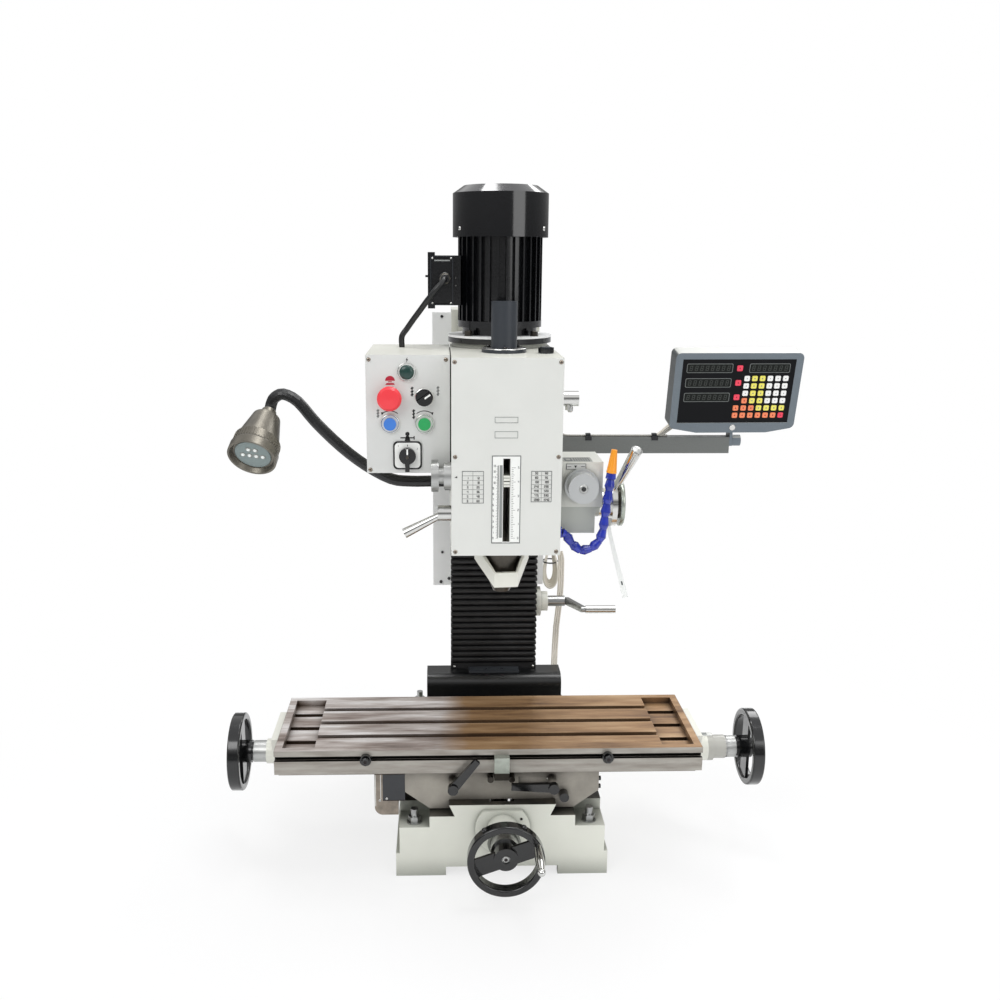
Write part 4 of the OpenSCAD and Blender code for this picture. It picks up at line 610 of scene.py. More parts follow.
TAIL = [
    (0.141, 0.363, 0.514), (0.149, 0.3635, 0.504), (0.153, 0.362, 0.486),
    (0.153, 0.358, 0.460), (0.152, 0.352, 0.430), (0.150, 0.346, 0.400),
    (0.146, 0.338, 0.370), (0.141, 0.326, 0.335), (0.137, 0.306, 0.300),
    (0.134, 0.289, 0.265), (0.132, 0.277, 0.225), (0.131, 0.270, 0.180),
    (0.130, 0.268, 0.138), (0.130, 0.268, 0.1242),
]
HANK_LOOPS, HANK_STEPS = 5, 24
HANK_AT = (0.131, 0.336, 0.470)
HANK_W, HANK_H, HANK_PITCH, HANK_PINCH = 0.042, 0.092, 0.0054, 0.45
HANK_NARROWING, HANK_LIFT = 0.1, 0.06


def hank_point(t):
    a = radians(90 - 360 * t)
    s = sin(a)
    w = HANK_W / 2 * (1 - HANK_PINCH * (s + 1) / 2) * (1 - HANK_NARROWING * t)
    h = HANK_H / 2 * (1 - HANK_LIFT * t if s < 0 else 1)
    return Vector((HANK_AT[0] + w * cos(a), HANK_AT[1] + HANK_PITCH * t, HANK_AT[2] + h * s))


def add_cords():
    add_cord("motor_lead", "motor_cable", "head", "black_rubber", "neck_sheath",
             smooth(MOTOR_CABLE, 4), MOTOR_CORD_D)
    add_cord("readout_lead", "readout_cable", "arm", "white_sheath", "grey_sheath",
             smooth(ARM_CABLE, 3), CORD_D)
    turns = [hank_point(k / HANK_STEPS) for k in range(HANK_LOOPS * HANK_STEPS + 1)]
    add_cord("scale_lead", "cable_hank", "base", "white_sheath", "white_sheath",
             smooth(LEAD, 3) + turns + smooth(TAIL, 3), CORD_D)


add_cords()


# Bellows, drawn as a stack of folds in place of the CAD's block; on the machine they fold up as
# the head comes down
FOLDS, END_BAND, FOLD_DEPTH = 28, 12, 9


def add_bellows_squash():
    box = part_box("bellows")
    low, high = Vector(box[0]) / MM, Vector(box[1]) / MM
    piece = Piece()
    skin = high.y - 1.0
    first = low.z + END_BAND
    span = (high.z - low.z - 2 * END_BAND) / FOLDS
    ys = []
    for k in range(FOLDS):
        z = first + k * span
        ys += [(low.y + depth, z + span * part) for depth, part in (
            (FOLD_DEPTH, 0), (FOLD_DEPTH * 0.35, 0.14), (0.4, 0.34), (0.4, 0.66),
            (FOLD_DEPTH * 0.35, 0.86))]
    ys.append((low.y + FOLD_DEPTH, first + FOLDS * span))
    pts = []
    for y, z in ys:
        inset = (y - low.y) * 0.55
        pts += [(low.x + inset, skin, z), (low.x + inset, y, z), (high.x - inset, y, z),
                (high.x - inset, skin, z)]
    piece.put(pts, ring_faces(len(ys), 4) + end_faces(len(ys), 4), "black_rubber")
    for z in (low.z, high.z - END_BAND):
        piece.box(low.x, high.x, low.y + 1, skin, z, z + END_BAND, "black_rubber")
    obj = piece.make("way_bellows", "base", "black_rubber")
    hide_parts("bellows")
    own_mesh(obj)


add_bellows_squash()


# Head front: scale, tables, blanks and screws
PLATE_Y = -120.0
LABEL_Y, INK_Y = PLATE_Y - 0.35, PLATE_Y - 0.55
SCALE_Z = 668


def add_head_front():
    s = Piece()
    for x, z in ((-91, 978), (91, 978), (-90, 814), (90, 814), (-89.5, 643), (89.5, 643)):
        dome_screw(s, (x, PLATE_Y, z), FRONT, 7.6, "screw_dark")
    s.make("plate_screws", "head", "steel")
    p = Piece()
    for x0, x1, z0, z1 in ((-25, -7, 661, 815), (7, 23.6, 661, 815), (-7, 7, 811.5, 815),
                           (-7, 7, 659.5, 661)):
        p.box(x0, x1, LABEL_Y, PLATE_Y, z0, z1, "label_white")
    p.frame(-26, 24.6, 658.6, 816.4, 1.3, INK_Y, PLATE_Y, "ink_dim")
    for k in range(131):
        z = SCALE_Z + k
        w = 4.6 if k % 10 == 0 else (3.4 if k % 5 == 0 else 2.2)
        p.box(-14.3 - w, -14.3, INK_Y, LABEL_Y, z - 0.18, z + 0.18, "ink_black")
    for k in range(41):
        z = SCALE_Z + k * 3.175
        w = 7.0 if k % 8 == 0 else (5.0 if k % 4 == 0 else 3.2)
        p.box(8.6, 8.6 + w, INK_Y, LABEL_Y, z - 0.25, z + 0.25, "ink_black")
    p.box(-12.4, -7.4, INK_Y, LABEL_Y, 669, 799.5, "ink_grey")
    p.box(-14.6, -14.0, INK_Y - 0.05, LABEL_Y, 669, 799.5, "ink_black")
    feeds = ",1 12,2 18,3 25,4 36,5 48,6 60".split(",")
    speeds = "50 60,80 95,150 180,240 290,440 520,775 930,1280 1540".split(",")
    for x0, x1, z0, z1, rows in ((-78, -40, 731.5, 789, feeds), (43, 79, 733.5, 789, speeds)):
        p.frame(x0, x1, z0, z1, 0.8, INK_Y, PLATE_Y, "ink_dim")
        n = len(rows)
        for k in range(n):
            z = z1 - (z1 - z0) * k / n
            if k:
                p.box(x0, x1, INK_Y, PLATE_Y, z - 0.25, z + 0.25, "ink_grey")
            for c, text in enumerate(rows[k].split()):
                cx = x0 + (x1 - x0) * (0.27 + 0.48 * c)
                for i, char in enumerate(text):
                    draw_digit(p, char, cx + (i - len(text) / 2) * 2.9, z - (z1 - z0) / n + 2.1,
                               4.0, INK_Y, PLATE_Y, "ink_black")
        x = (x0 + x1) / 2
        p.box(x - 0.25, x + 0.25, INK_Y, PLATE_Y, z0, z1, "ink_grey")
    for z0, z1 in ((873.6, 884), (847, 859)):
        p.frame(-21.6, 18.6, z0, z1, 0.8, INK_Y, PLATE_Y, "ink_grey")
    p.slab([(-91, 777.6), (-86.5, 776.8), (-86.5, 780.2)], INK_Y, PLATE_Y, "ink_black")
    p.make("plate_print", "head", "plate_film")
    add_digits()
    d = Piece()
    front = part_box("quill_collar")[0][1] / MM
    for k in (-6, 6):
        d.box(-5.2, 5.2, front - 0.3, front, 770.6 + k, 771.4 + k, "ink_black")
    d.box(-5.2, 5.2, front - 0.3, front, 770.2, 771.8, "dark_steel")
    d.make("pointer_lines", "quill", "cream_paint")


GLYPHS = {
    "0": "abcdef", "1": "bc", "2": "abged", "3": "abgcd", "4": "fgbc", "5": "afgcd",
    "6": "afgedc", "7": "abc", "8": "abcdefg", "9": "abcdfg",
}


def draw_digit(piece, char, x, z, h, y0, y1, mat):
    w, t = h * 0.55, h * 0.13
    bars = {
        "a": (0, w, h - t, h), "g": (0, w, h / 2 - t / 2, h / 2 + t / 2), "d": (0, w, 0, t),
        "b": (w - t, w, h / 2, h), "c": (w - t, w, 0, h / 2),
        "f": (0, t, h / 2, h), "e": (0, t, 0, h / 2),
    }
    for c in GLYPHS[char]:
        bx0, bx1, bz0, bz1 = bars[c]
        piece.box(x + bx0, x + bx1, y0, y1, z + bz0, z + bz1, mat)


def add_digits():
    p = Piece()
    for k in range(14):
        z = SCALE_Z + (13 - k) * 10 - 1.6
        for i, c in enumerate(str(13 - k)):
            draw_digit(p, c, -24.2 + i * 2.6, z, 3.8, INK_Y, LABEL_Y, "ink_black")
    for k in range(6):
        z = SCALE_Z + (5 - k) * 25.4 - 1.6
        draw_digit(p, str(5 - k), 19.6, z, 4.0, INK_Y, LABEL_Y, "ink_black")
    p.make("scale_numbers", "head", "plate_film")


add_head_front()


# Control box
BOX_X0, BOX_X1, BOX_Z0, BOX_Z1 = -246.5, -98.5, 775.0, 985.0
PANEL_Y = -66.0
BUTTON_X, SELECT_X, CAM_X = -204.32, -143.64, -173.98
ROW1_Z, ROW2_Z, CAM_Z, LAMP_Z = 910.45, 864.25, 807.55, 955.6


# The corners of a square, counter-clockwise, with the angle at which each one's round starts
QUARTERS = ((1, 1, 0), (-1, 1, 90), (-1, -1, 180), (1, -1, 270))


def arc_points(cx, cz, r, a0, a1, n=14):
    return [(cx + r * cos(radians(a0 + (a1 - a0) * i / n)),
             cz + r * sin(radians(a0 + (a1 - a0) * i / n))) for i in range(n + 1)]


def rounded(w, h, r, cx, cy, n=5):
    out = []
    for sx, sy, a in QUARTERS:
        out += arc_points(cx + sx * (w / 2 - r), cy + sy * (h / 2 - r), r, a, a + 90, n)
    return out


def arc_band(piece, cx, cz, r, t, a0, a1, y0, y1, mat):
    outer = arc_points(cx, cz, r + t / 2, a0, a1)
    inner = arc_points(cx, cz, r - t / 2, a0, a1)
    for i in range(len(outer) - 1):
        piece.slab([outer[i], outer[i + 1], inner[i + 1], inner[i]], y0, y1, mat)


def add_panel():
    s = Piece()
    for x in (BOX_X0 + 6, BOX_X1 - 7):
        for z in (BOX_Z0 + 6, BOX_Z1 - 8):
            dome_screw(s, (x, PANEL_Y, z), FRONT, 7.6, "screw_dark")
    s.make("panel_screws", "head", "steel")
    p = Piece()
    ink = (PANEL_Y - 0.3, PANEL_Y)
    # spark above the pilot lamp
    p.slab([(-172.6, 981.5), (-175.6, 976.5), (-174, 976.2), (-175.5, 971.6), (-171.5, 977.4),
            (-173.2, 977.6)], *ink, "ink_black")
    # mushroom sign above the stop button
    p.slab(arc_points(-203.6, 940, 8.6, 0, 180), *ink, "ink_red")
    p.slab([(-207, 937.5), (-200.2, 937.5), (-200.2, 939), (-207, 939)], *ink, "ink_red")
    p.slab([(-212, 932.8), (-195, 932.8), (-197.5, 936), (-209.5, 936)], *ink, "ink_red")
    # tool signs beside the selector and the buttons
    for x, z, h, mat in ((-165, 921, 17, "ink_black"), (-162.5, 881, 17, "ink_black"),
                         (-119.5, 922, 17, "ink_grey"), (-225.5, 882, 15, "ink_grey")):
        p.box(x - 1.1, x + 1.1, *ink, z - h / 2, z + h / 2, mat)
        for k in range(3):
            zz = z - h / 2 + 1.6 + k * h / 3
            p.slab([(x - 2.6, zz), (x + 2.6, zz + 1.1), (x + 2.6, zz + 3), (x - 2.6, zz + 1.9)],
                   *ink, mat)
    # turning arrows above the buttons
    for x, side in ((BUTTON_X, -1), (SELECT_X, 1)):
        arc_band(p, x, ROW2_Z, 22.5, 1.4, 52, 128, *ink, "ink_black")
        head = [(x + side * 16, 884.5), (x + side * 10.5, 884), (x + side * 14.5, 879)]
        p.slab(head, *ink, "ink_black")
    # tap sign above the cam switch
    for outline in (((-12.5, 837.6), (12, 837.6), (12, 839.8), (-12.5, 839.8)),
                    ((11, 835.6), (12.8, 835.6), (12.8, 841.8), (11, 841.8)),
                    ((-5, 833), (5, 833), (3, 841), (1.4, 843), (-1.4, 843), (-3, 841))):
        p.slab([(CAM_X + x, z) for x, z in outline], *ink, "ink_black")
    p.slab(arc_points(CAM_X, 845.6, 3.8, 0, 345, 23), *ink, "ink_black")
    p.make("panel_print", "head", "aluminium")
    c = Piece()
    face = PANEL_Y - 2.55
    outline = rounded(51, 51, 8, CAM_X, CAM_Z, 6)
    c.slab(outline, face - 0.5, face, "ink_black")
    small = [(CAM_X + (x - CAM_X) * 0.89, CAM_Z + (z - CAM_Z) * 0.89) for x, z in outline]
    c.slab(small, face - 0.8, face - 0.5, "label_white")
    y2 = face - 1.0
    c.box(CAM_X - 0.5, CAM_X + 0.5, y2, face - 0.8, CAM_Z + 16, CAM_Z + 19.5, "ink_black")
    draw_digit(c, "1", CAM_X - 18, CAM_Z + 15.5, 3.6, y2, face - 0.8, "ink_black")
    draw_digit(c, "2", CAM_X + 16.5, CAM_Z + 10, 3.6, y2, face - 0.8, "ink_grey")
    c.make("cam_plate", "head", "aluminium")
    rims = Piece()
    for x, z in ((BUTTON_X, ROW2_Z), (SELECT_X, ROW2_Z), (CAM_X, LAMP_Z)):
        rims.lathe([(17.2, 0), (17.2, 3.0), (16.4, 4.25), (14.9, 4.3), (14.7, 0), (17.2, 0)],
                   "chrome", (x, PANEL_Y, z), FRONT, 36, ring=True)
    rims.lathe([(17.2, 0), (17.2, 2.6), (16.4, 4.1), (14.6, 4.15)], "chrome",
               (SELECT_X, PANEL_Y, ROW1_Z), FRONT, 36)
    rims.lathe([(15.4, 4.0), (15.4, 4.5), (14.6, 4.9), (13.8, 4.9)], "black_satin",
               (SELECT_X, PANEL_Y, ROW1_Z), FRONT, 36)
    lens = [(12.9 * cos(a), 5.0 + 4.5 * sin(a)) for a in (0, 0.35, 0.7, 1.05, 1.4)]
    rims.lathe([(13.0, 4.2)] + lens + [(0.4, 9.6)], "lens_green", (CAM_X, PANEL_Y - 3, LAMP_Z),
               FRONT, 28)
    rims.make("bezels", "head", "chrome")
    k = Piece()
    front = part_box("jog_selector")[0][1] / MM
    at = Matrix.Translation((SELECT_X, front, ROW1_Z)) @ Matrix.Rotation(radians(-35), 4, "Y")
    k.box(1, 13.0, -0.5, 0, -1.4, 1.4, "label_white", at)
    k.make("selector_mark", "jog", "black_plastic")
    m = Piece()
    m.box(CAM_X - 1.3, CAM_X + 1.3, PANEL_Y - 21.4, PANEL_Y - 20.6, CAM_Z + 4, CAM_Z + 14,
          "label_white")
    m.lathe([(3, 0), (3, 0.8), (2.4, 1.1)], "dark_steel", (CAM_X, PANEL_Y - 20.6, CAM_Z - 1),
            FRONT, 16)
    m.make("cam_mark", "cam", "black_plastic")


add_panel()


# Readout face
DRO_AT = Vector((509, 275, 879))
DRO_PLACE = (Matrix.Translation(DRO_AT) @ Matrix.Rotation(radians(2), 4, "Z")
             @ Matrix.Rotation(radians(12), 4, "X") @ Matrix.Rotation(radians(90), 4, "X"))
# Depth of the panel's face in the readout's frame, and the grid of its keys
FACE = -3 + 0.015 + 2
KEY_X, KEY_PITCH, KEY_Y, ROW_PITCH = 3.4, 16.6, 28.5, 16.4


def pad(piece, outline, z0, z1, mat):
    n = len(outline)
    pts = [(x, y, z0) for x, y in outline] + [(x, y, z1) for x, y in outline]
    faces = [[n - 1 - i for i in range(n)], [n + i for i in range(n)]]
    faces += [[i, (i + 1) % n, (i + 1) % n + n, i + n] for i in range(n)]
    piece.put(pts, faces, mat)


def window(piece, cx, cy, w, x0, count, pitch):
    """A display window with its row of figures."""
    pad(piece, rounded(w, 20, 3, cx, cy), FACE, FACE + 0.5, "window_rim")
    pad(piece, rounded(w - 2.4, 17.6, 2.4, cx, cy), FACE + 0.5, FACE + 0.7, "window")
    for k in range(count):
        seven_segments(piece, x0 + k * pitch, cy - 5.6, 11.2, FACE + 0.7)


def add_readout():
    p = Piece(DRO_PLACE)
    for cy in (51, 19, -13):
        window(p, -62, cy, 98, -105.5, 8, 11.4)
    window(p, 66, 51, 87, 27.5, 7, 11.6)
    p.make("readout_windows", "readout", "readout_face")
    keys = Piece(DRO_PLACE)
    for cx, cy in ((2, 51), (2.1, 19), (2.5, -13)):
        key(keys, cx, cy, 12.4, "r")
    rows = (" wyywww", " wyywww", " wyywww", " oyywww", "oooyyyy", "oooooor")
    for row, kinds in enumerate(rows):
        for c, kind in enumerate(kinds):
            if kind in KEY_LOOKS:
                key(keys, KEY_X + c * KEY_PITCH, KEY_Y - row * ROW_PITCH, 11.6, kind)
    keys.make("readout_keys", "readout", "readout_face")
    e = Piece(DRO_PLACE)
    e.lathe([(6.6, 0), (6.6, 0.8), (5.6, 1.3), (4.8, 1.0), (0.4, 1.1)], "chrome",
            (2, -81.5, 0), UP, 28)
    for x, y in ((-122, -70), (-122, 70), (122, -70), (122, 70)):
        e.lathe([(4.2, 0), (4.2, 2.2), (2.1, 2.2)], "dark_steel", (x, y, -42), (0, 0, -1), 18)
    # Painted shade: dark slats stand for the vents in the back.
    for k in range(7):
        e.box(-70 + k * 9, -66 + k * 9, -30, 30, -42.5, -42, "dark_gap")
    e.make("readout_fittings", "readout", "readout_case")


def seven_segments(piece, x, y, h, z):
    w, t = h * 0.56, h * 0.12
    lean = h * 0.12
    for bx, by, bw, bh in ((0, h - t, w, t), (0, h / 2 - t / 2, w, t), (0, 0, w, t),
                           (0, h / 2, t, h / 2), (w - t, h / 2, t, h / 2), (0, 0, t, h / 2),
                           (w - t, 0, t, h / 2)):
        pts = [(x + bx + dx + lean * (by + dy) / h, y + by + dy)
               for dx, dy in ((0, 0), (bw, 0), (bw, bh), (0, bh))]
        pad(piece, pts, z, z + 0.15, "segment")


KEY_LOOKS = {"w": ("key_white", "ink_grey", 0.16), "y": ("key_yellow", "ink_grey", 0.22),
             "o": ("key_orange", "ink_red", 0.22), "r": ("key_red", "ink_red", 0.22)}


def key(piece, cx, cy, w, kind):
    mat, ink, share = KEY_LOOKS[kind]
    pad(piece, rounded(w, w, 2.4, cx, cy), FACE, FACE + 1.0, mat)
    pad(piece, rounded(w * 0.86, w * 0.86, 2, cx, cy), FACE + 1.0, FACE + 1.3, mat)
    mark = w * share
    pad(piece, rounded(mark, mark * 1.2, mark * 0.3, cx, cy, 2), FACE + 1.3, FACE + 1.4, ink)


add_readout()


# Lamp
LAMP_LEAN = Vector((-0.17, -0.77, -0.61))
LAMP_DIR = LAMP_LEAN.normalized()
LAMP_AT = Vector((-437, 58, 868)) + LAMP_LEAN


def add_lamp():
    p = Piece(turned(LAMP_AT, LAMP_DIR))
    for at in around((0, 0, 0), UP, 48):
        p.box(42.6, 43.6, -0.9, 0.9, 79, 94, "lamp_metal", at)
    p.lathe([(34, 108.2), (34, 108.8), (32.6, 109.1)], "reflector", n=40)
    spin = (Vector(RIGHT) - LAMP_DIR * LAMP_DIR.x).normalized()
    other = LAMP_DIR.cross(spin)
    q = Piece(Matrix.Translation(LAMP_AT) @ Matrix((spin, other, LAMP_DIR)).transposed().to_4x4())
    for x, y in ((-6.2, 14), (6.2, 14), (-18.6, -2), (-6.2, -2), (6.2, -2), (18.6, -2)):
        q.lathe([(5.4, 109.0), (5.4, 109.6), (4.4, 109.6)], "label_grey", (x, y, 0), UP, 20)
        q.lathe([(3.4, 109.6), (3.0, 111.0), (1.6, 112.0), (0.3, 112.3)], "led", (x, y, 0),
                UP, 14)
    q.make("lamp_lenses", "head", "lamp_metal")
    p.make("lamp_grip", "head", "lamp_metal")


add_lamp()


# Motor
MOTOR_Y = 150
GLAND = (-106, 93.8, 1113)


def add_motor():
    p = Piece()
    for bolt, screw in zip((45, 135, 225, 315), (30, 150, 210, 330)):
        x, y = cos(radians(bolt)), sin(radians(bolt))
        hex_bolt(p, (88 * x, MOTOR_Y + 88 * y, 1007), UP, 14, 10)
        x, y = cos(radians(screw)), sin(radians(screw))
        dome_screw(p, (91 * x, MOTOR_Y + 91 * y, 1204), (x, y, 0), 8)
    # Painted highlight: a pale band over the top 4 mm of the black motor flange stands for the
    # sheen along its top edge.
    p.lathe([(100.3, 0), (100.3, 4)], "pale_paint", (0, MOTOR_Y, 1003.2), UP, 64)
    p.make("motor_bolts", "head", "steel")
    t = Piece()
    t.box(-143, -137, 102, 108, 1115, 1119, "black_paint")
    t.frame(-133.5, -91, 1064, 1154, 1.6, 92.7, 93.9, "dark_paint")
    t.box(-126, -97, 92.9, 93.9, 1144.5, 1147, "ink_grey")
    for x, z in ((-129.5, 1068), (-95, 1068), (-129.5, 1150), (-95, 1150)):
        dome_screw(t, (x, 92.8, z), FRONT, 4)
    t.lathe([(11.5, 0), (11.5, 3), (9.8, 4)], "black_paint", GLAND, FRONT, 24)
    t.lathe([(10.2, 4), (10.2, 9.5), (9.0, 10.5)], "lamp_metal", GLAND, FRONT, 6, False)
    t.lathe([(8.2, 10.5), (7.4, 13), (6.2, 13.5)], "black_satin", GLAND, FRONT, 20)
    for z in (1100, 1114):
        t.lathe([(1.6, 0), (1.2, 0.8)], "chrome", (-86, 93.9, z), FRONT, 10)
    t.make("terminal_fittings", "head", "black_paint")


add_motor()


# Head top and sides
def add_head_trim():
    p = Piece()
    p.lathe([(40.8, 0), (40.8, 1.2), (39.4, 2.0), (24, 2.0)], "chrome", (0, 0, 991), UP, 48)
    for k in range(3):
        a = radians(30 + 120 * k)
        cap_screw(p, (32 * cos(a), 32 * sin(a), 993), UP, 7, 3.4)
    p.make("cap_ring", "head", "chrome")
    k = Piece()
    for at in around((74, -24, 985), UP, 30):
        k.box(13.2, 14.1, -0.8, 0.8, 1.6, 10, "black_plastic", at)
    k.make("plug_knurl", "head", "black_plastic")
    g = Piece()
    # Painted shade: a dark strip in the seam between the control box and the head.
    g.box(-98.5, -96.5, -60, 160, 780, 980, "dark_gap")
    g.make("box_gasket", "head", "dark_paint")
    c = Piece()
    # marks of the tilt scale behind the head
    for i in range(19):
        a = radians(-45 + 5 * i)
        x, z = 84 * sin(a), 810.5 + 84 * cos(a)
        c.lathe([(0.5, 0), (0.5, 2.4)], "ink_black", (x * 0.97, 226, z), (0, 1, 0), 6)
    c.make("tilt_scale", "head", "cream_paint")


add_head_trim()


# Knobs, dials and the white strap on the quill hub
def graduate(piece, p, axis, r, h, n):
    """Engraved lines round a dial's rim."""
    for i, at in enumerate(around(p, axis, n)):
        tall = h if i % 10 == 0 else (h * 0.75 if i % 5 == 0 else h * 0.5)
        piece.box(r - 0.2, r + 0.12, -0.2, 0.2, 0, tall, "ink_black", at)


HUB_Y, HUB_Z = -8, 706
LEVER_LEAN = radians(35)
FEED_KNOB = (139, -96.2, 751)


def add_controls():
    k = Piece()
    k.lathe([(8.2, 0), (8.2, 0.8), (4.4, 0.8)], "satin_steel", FEED_KNOB, FRONT, 24)
    k.lathe([(4.2, 0.8), (4.2, 2.0), (2.4, 2.4)], "black_plastic", FEED_KNOB, FRONT, 20)
    k.make("feed_knob_screw", "feed_knob", "aluminium")
    box = Piece()
    box.slab([(106, 792.6), (160, 792.6), (160, 793.2), (106, 793.2)], -56, -14, "label_grey")
    box.box(110, 124, -50, -22, 793.2, 793.4, "ink_dim")
    box.box(113, 121, -44, -28, 793.4, 793.5, "label_grey")
    for i in range(7):
        box.box(127 + i * 4.4, 129 + i * 4.4, -52, -18, 793.2, 793.4, "ink_dim")
    box.box(111, 147, -60.8, -60, 779.8, 790.2, "ink_dim")
    box.box(112, 146, -61, -60, 780.5, 789.5, "label_silver")
    box.slab([(128, 782), (130.6, 787), (125.4, 787)], -61.3, -61, "ink_black")
    for x in (116.5, 141.5):
        box.box(x - 3.6, x + 3.6, -61.3, -61, 784.4, 785.4, "ink_black")
    for x in (112.8, 145.2):
        box.lathe([(1.2, 0), (0.9, 0.6)], "satin_steel", (x, -61, 785), FRONT, 10)
    box.make("feed_box_labels", "head", "aluminium")
    w = Piece()
    pts = [(198, -12, 676), (200, -13, 662), (203, -14, 645), (207.5, -14.5, 628)]
    pts += [(212 + 5 * k, -15, 610 - 18 * k) for k in range(5)] + [(236.5, -15, 521)]
    strap(w, pts)
    w.lathe([(26.7, 0), (27.4, 0.6), (27.4, 6.4), (26.7, 7)], "white_sheath",
            (187, HUB_Y, HUB_Z), RIGHT, 40)
    w.make("hub_strap", "quill_hub", "white_sheath")
    s = Piece()
    lever = Vector((0, -sin(LEVER_LEAN), cos(LEVER_LEAN)))
    s.lathe([(9.4, 0), (9.6, 1.2), (7, 2.4), (0.4, 2.9)], "satin_steel",
            Vector((205.15 + 28, HUB_Y, HUB_Z)) + lever * 139, (0.28, -0.55, 0.79), 28)
    s.lathe([(30, 0), (30, 6)], "dark_steel", (209.6, HUB_Y, HUB_Z), RIGHT, 40)
    s.lathe([(42.6, 0), (44, 1.4), (44, 6.6), (42.6, 8), (34, 8), (32, 6.6)], "stop_steel",
            (215.6, HUB_Y, HUB_Z), RIGHT, 48)
    s.lathe([(12, 0), (12, 3), (9, 5)], "dark_steel", (222, HUB_Y, HUB_Z), RIGHT, 6, False)
    s.make("lever_end", "quill_hub", "chrome")
    n = Piece()
    tip, foot = Vector((194, -80, 819)), Vector((189, -80, 767))
    along = (tip - foot).normalized()
    n.lathe([(9.4, 0), (9.4, 2), (9.0, 3), (5.4, 40.5), (5.2, 41.9), (3.6, 41.9)],
            "nozzle_plastic", tip - along * 41.5, along, 28)
    n.make("nozzle_sleeve", "head", "hose_plastic")
    f = Piece()
    for at in around((-98.5 - 33, -96, 776), RIGHT, 60):
        f.box(27.6, 28.5, -0.5, 0.5, 0, 12, "satin_steel", at)
    f.make("feed_dial_knurl", "feed_dial", "aluminium")
    v = Piece()
    v.lathe([(4.6, 0), (5.2, 3), (5.0, 8), (3.4, 10.5), (0.4, 11)], "satin_steel",
            (115, -60, 894.5), (0.1, 0, -1), 20)
    v.make("speed_knob_nub", "speed_knob", "chrome")


def strap(piece, points):
    """A flat plastic strap that widens to a slotted tag."""
    n = len(points)
    for i in range(n - 1):
        a, b = Vector(points[i]), Vector(points[i + 1])
        wa, wb = (6.5 + 5 * i / n) / 2, (6.5 + 5 * (i + 1) / n) / 2
        ahead = (b - a).normalized()
        across = Vector((ahead.z, 0, -ahead.x)).normalized()
        back = Vector((0, 1.3, 0))
        quad = [a - across * wa, a + across * wa, b + across * wb, b - across * wb]
        pts = [tuple(q) for q in quad] + [tuple(q + back) for q in quad]
        faces = [[0, 1, 2, 3], [7, 6, 5, 4]]
        faces += [[k, k + 4, (k + 1) % 4 + 4, (k + 1) % 4] for k in range(4)]
        piece.put(pts, faces, "lead_white")
    # Painted shade: the slot in the tag is a dark patch, not a hole.
    slot = Vector(points[-2]) * 0.35 + Vector(points[-3]) * 0.65
    piece.box(-1.4, 1.4, -0.3, 1.6, -4, 4, "ink_dim",
              Matrix.Translation(slot) @ Matrix.Rotation(radians(-15), 4, "Y"))


add_controls()


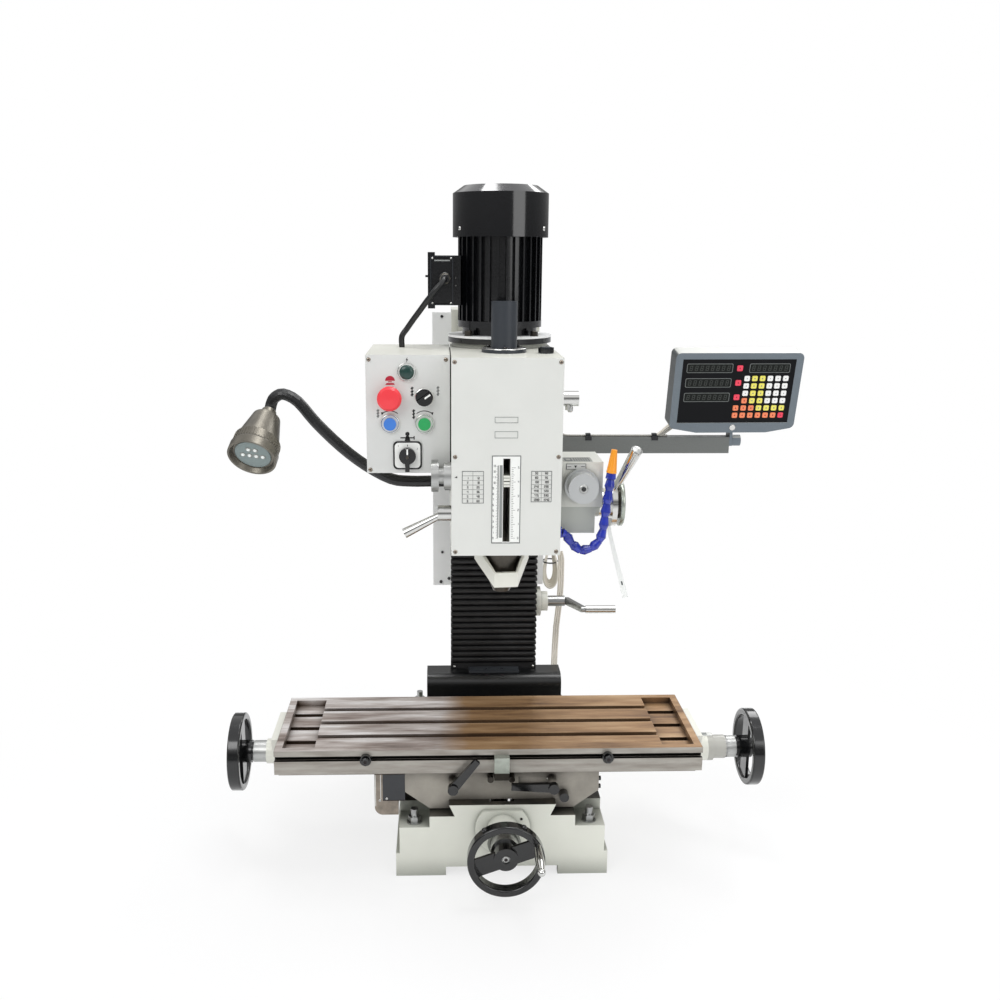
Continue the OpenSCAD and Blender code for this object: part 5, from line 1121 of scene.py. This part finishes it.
# Table, saddle and base fittings
def add_table_trim():
    for name, body, x in (("left_dog_screw", "dog_left", -255.5),
                          ("right_dog_screw", "dog_right", 195)):
        d = Piece()
        cap_screw(d, (x, -131.5, 245), FRONT, 15, 4)
        d.make(name, body, "black_plastic")
    g = Piece()
    for x in (-492.5, 448):
        graduate(g, (x, 0, 202.4), RIGHT, 21, 9, 80)
    g.make("long_dials", "long_screw", "steel")
    n = Piece()
    n.box(399, 422, -7, 7, 227.6, 229.8, "label_silver")
    n.box(402, 413, -5, 5, 229.8, 230.0, "ink_grey")
    n.make("neck_label", "table", "cream_paint")
    y = Piece()
    graduate(y, (0, -176, 101), FRONT, 26, 11, 80)
    y.lathe([(6.4, 0), (6.4, 1.2), (4.2, 1.6)], "satin_steel", (0, -229, 101), FRONT, 24)
    # Painted shade: a dark disc stands for the hole in the hub's middle.
    y.lathe([(3.4, 1.6), (3.4, 1.8)], "dark_gap", (0, -229, 101), FRONT, 16)
    for x, z in ((-45.2, 167.8), (34.9, 170.6)):
        r = hypot(x, z - 101)
        ux, uz = x / r, (z - 101) / r
        y.lathe([(4.4, 0), (4.4, 4), (2.6, 5)], "black_plastic",
                (ux * 69.5, -228.6, 101 + uz * 69.5), (ux, 0, uz), 16)
    y.make("cross_dial", "cross_screw", "steel")
    s = Piece()
    front = -98.2
    # The last strip is painted shade: a dark line along the foot of the dark panel.
    for x0, x1, z0, z1, mat in ((-226.5, -184.4, 147.5, 200.6, "dark_paint"),
                                (-241, -239.6, 135, 200, "label_silver"),
                                (-231, -229.8, 149, 200, "label_silver"),
                                (-226.5, -184.4, 146, 147.5, "dark_gap")):
        s.box(x0, x1, front - 0.1, front + 0.4, z0, z1, mat)
    for x, z in ((-232, 147), (-219, 150.5)):
        dome_screw(s, (x, front, z), FRONT, 5.6)
    dome_screw(s, (89, -92.2, 186), FRONT, 9)
    for z in (184.3, 168):
        cap_screw(s, (184, -90, z), RIGHT, 9, 5)
    s.make("saddle_screws", "saddle", "chrome")
    b = Piece()
    # Painted shade: a dark disc stands for the hole in the boss.
    b.lathe([(2.6, 0), (2.6, 0.5)], "dark_gap", (35.1, -128.2, 121.8), FRONT, 14)
    b.make("boss_hole", "base", "cream_paint")
    c = Piece()
    # Painted shade: dark discs stand for the two holes on top of the guard.
    for x in (-17, 17):
        c.lathe([(4.2, 0), (4.2, 0.5)], "dark_gap", (x, 205, 272.2), UP, 18)
    for x in (-85.9, 87.5):
        dome_screw(c, (x, 253.4, 272.4), FRONT, 6)
    c.make("guard_screws", "base", "chrome")
    v = Piece()
    for x, z in ((-97.5, 459.5), (-115.2, 452)):
        cap_screw(v, (x, 308, z), FRONT, 7, 3)
    for z in (520, 700, 880, 1032):
        cap_screw(v, (-112, 308, z), FRONT, 6, 2.6)
    v.make("cover_screws", "base", "black_plastic")


add_table_trim()


def add_extra_cables():
    """Leads from the arm's clip to the readout, two more beside the hank, and its tie."""
    p = Piece()
    for k, dy in enumerate((0, 6, 12)):
        x = 350 + k * 6.5
        pts = [(x - 6, 306, 780.5), (x, 305 - dy * 0.2, 782), (x + 9, 303, 789),
               (x + 20, 300, 800 - k), (x + 32, 297, 811 - k)]
        p.tube(smooth(pts, 4), 4.4, "grey_sheath" if k else "white_sheath")
    for x in (345.6, 202.3):
        p.box(x - 7, x + 7, 298.5, 318, 770.5, 779.5, "black_satin")
        p.box(x - 5, x + 5, 302, 314, 779.5, 784.5, "black_satin")
    p.make("readout_leads", "arm", "white_sheath")
    p = Piece()
    for k in (1, 2):
        line = [v / MM + Vector((4.9 * k, 1.2 * k, 0)) for v in smooth(TAIL[1:], 3)]
        p.tube(line, 4.6, "white_sheath")
    tie = [(131 + 16.5 * cos(radians(a)), 349.5 + 18 * sin(radians(a)), 486)
           for a in range(0, 361, 15)]
    p.tube(tie, 3.2, "black_satin", 8)
    p.make("scale_leads", "base", "white_sheath")


add_extra_cables()


# Floor, backdrop and light
FLOOR_WHITE = 0.72
SKY = 0.62


def add_stage():
    floor = Shader("floor_paint", "#f4f4f4", 0.7)
    mesh = bpy.data.meshes.new("floor")
    s = 30.0
    mesh.from_pydata([(-s, -s, 0), (s, -s, 0), (s, s, 0), (-s, s, 0)], [], [(0, 1, 2, 3)])
    mesh.materials.append(floor.m)
    in_scene("floor", mesh)
    # To the camera the floor is white, but for a soft shadow close to the machine
    far = floor.made("VectorMath", {0: floor.place((1, 1, 0))}, "Value", operation="LENGTH")
    white = floor.both(floor.span(far, 0.55, 1.3, FLOOR_WHITE, 1.0),
                       floor.node("LightPath").outputs["Is Camera Ray"])
    shown = floor.mix_shader(white, floor.bsdf.outputs[0], floor.made("Emission", {}))
    floor.feed(floor.tree.nodes["Material Output"].inputs["Surface"], shown)
    world = scene.world = scene.world or bpy.data.worlds.new("world")
    world.use_nodes = True
    world.node_tree.nodes.clear()
    sky = Tree(world.node_tree)
    # polished faces mirror a sky in bands; the camera sees plain white
    upward = sky.made("SeparateXYZ", {0: sky.node("TexCoord").outputs["Generated"]}, "Z")
    middle = [(at, grey(v)) for at, v in ((0.44, 0.05), (0.50, 0.13), (0.56, 0.34), (0.64, 0.16),
                                          (0.76, 0.95))]
    bands = sky.ramp(sky.maths("MULTIPLY_ADD", upward, 0.5, 0.5),
                     [(0.0, grey(0.06))] + middle + [(1.0, (0.9, 0.9, 0.92, 1))])
    light = sky.made("Background", {"Color": (0.97, 0.98, 1.0, 1), "Strength": SKY})
    mirrored = sky.made("Background", {"Color": bands})
    seen = sky.made("Background", {"Color": grey(1)})
    path = sky.node("LightPath").outputs
    lit = sky.mix_shader(path["Is Glossy Ray"], light, mirrored)
    out = sky.node("OutputWorld").inputs["Surface"]
    sky.feed(out, sky.mix_shader(path["Is Camera Ray"], lit, seen))


def add_area(name, at, aim, size, size_y, energy):
    data = bpy.data.lights.new(name, "AREA")
    data.shape = "RECTANGLE"
    data.size, data.size_y = size, size_y
    data.energy = energy
    obj = in_scene(name, data)
    obj.location = at
    obj.rotation_euler = (Vector(aim) - Vector(at)).to_track_quat("-Z", "Y").to_euler()


add_stage()
add_area("key", (-2.0, -2.6, 3.0), (0, 0, 0.6), 2.2, 1.6, 46)
add_area("fill", (2.4, -2.6, 1.8), (0, 0, 0.6), 2.0, 1.8, 22)
add_area("top", (0.2, 0.3, 3.4), (0, 0.1, 0.6), 2.6, 0.7, 42)
add_area("rim", (1.6, 2.2, 2.4), (0, 0.2, 0.8), 1.2, 1.6, 22)

scene.view_settings.view_transform = "Standard"
scene.view_settings.look = "None"
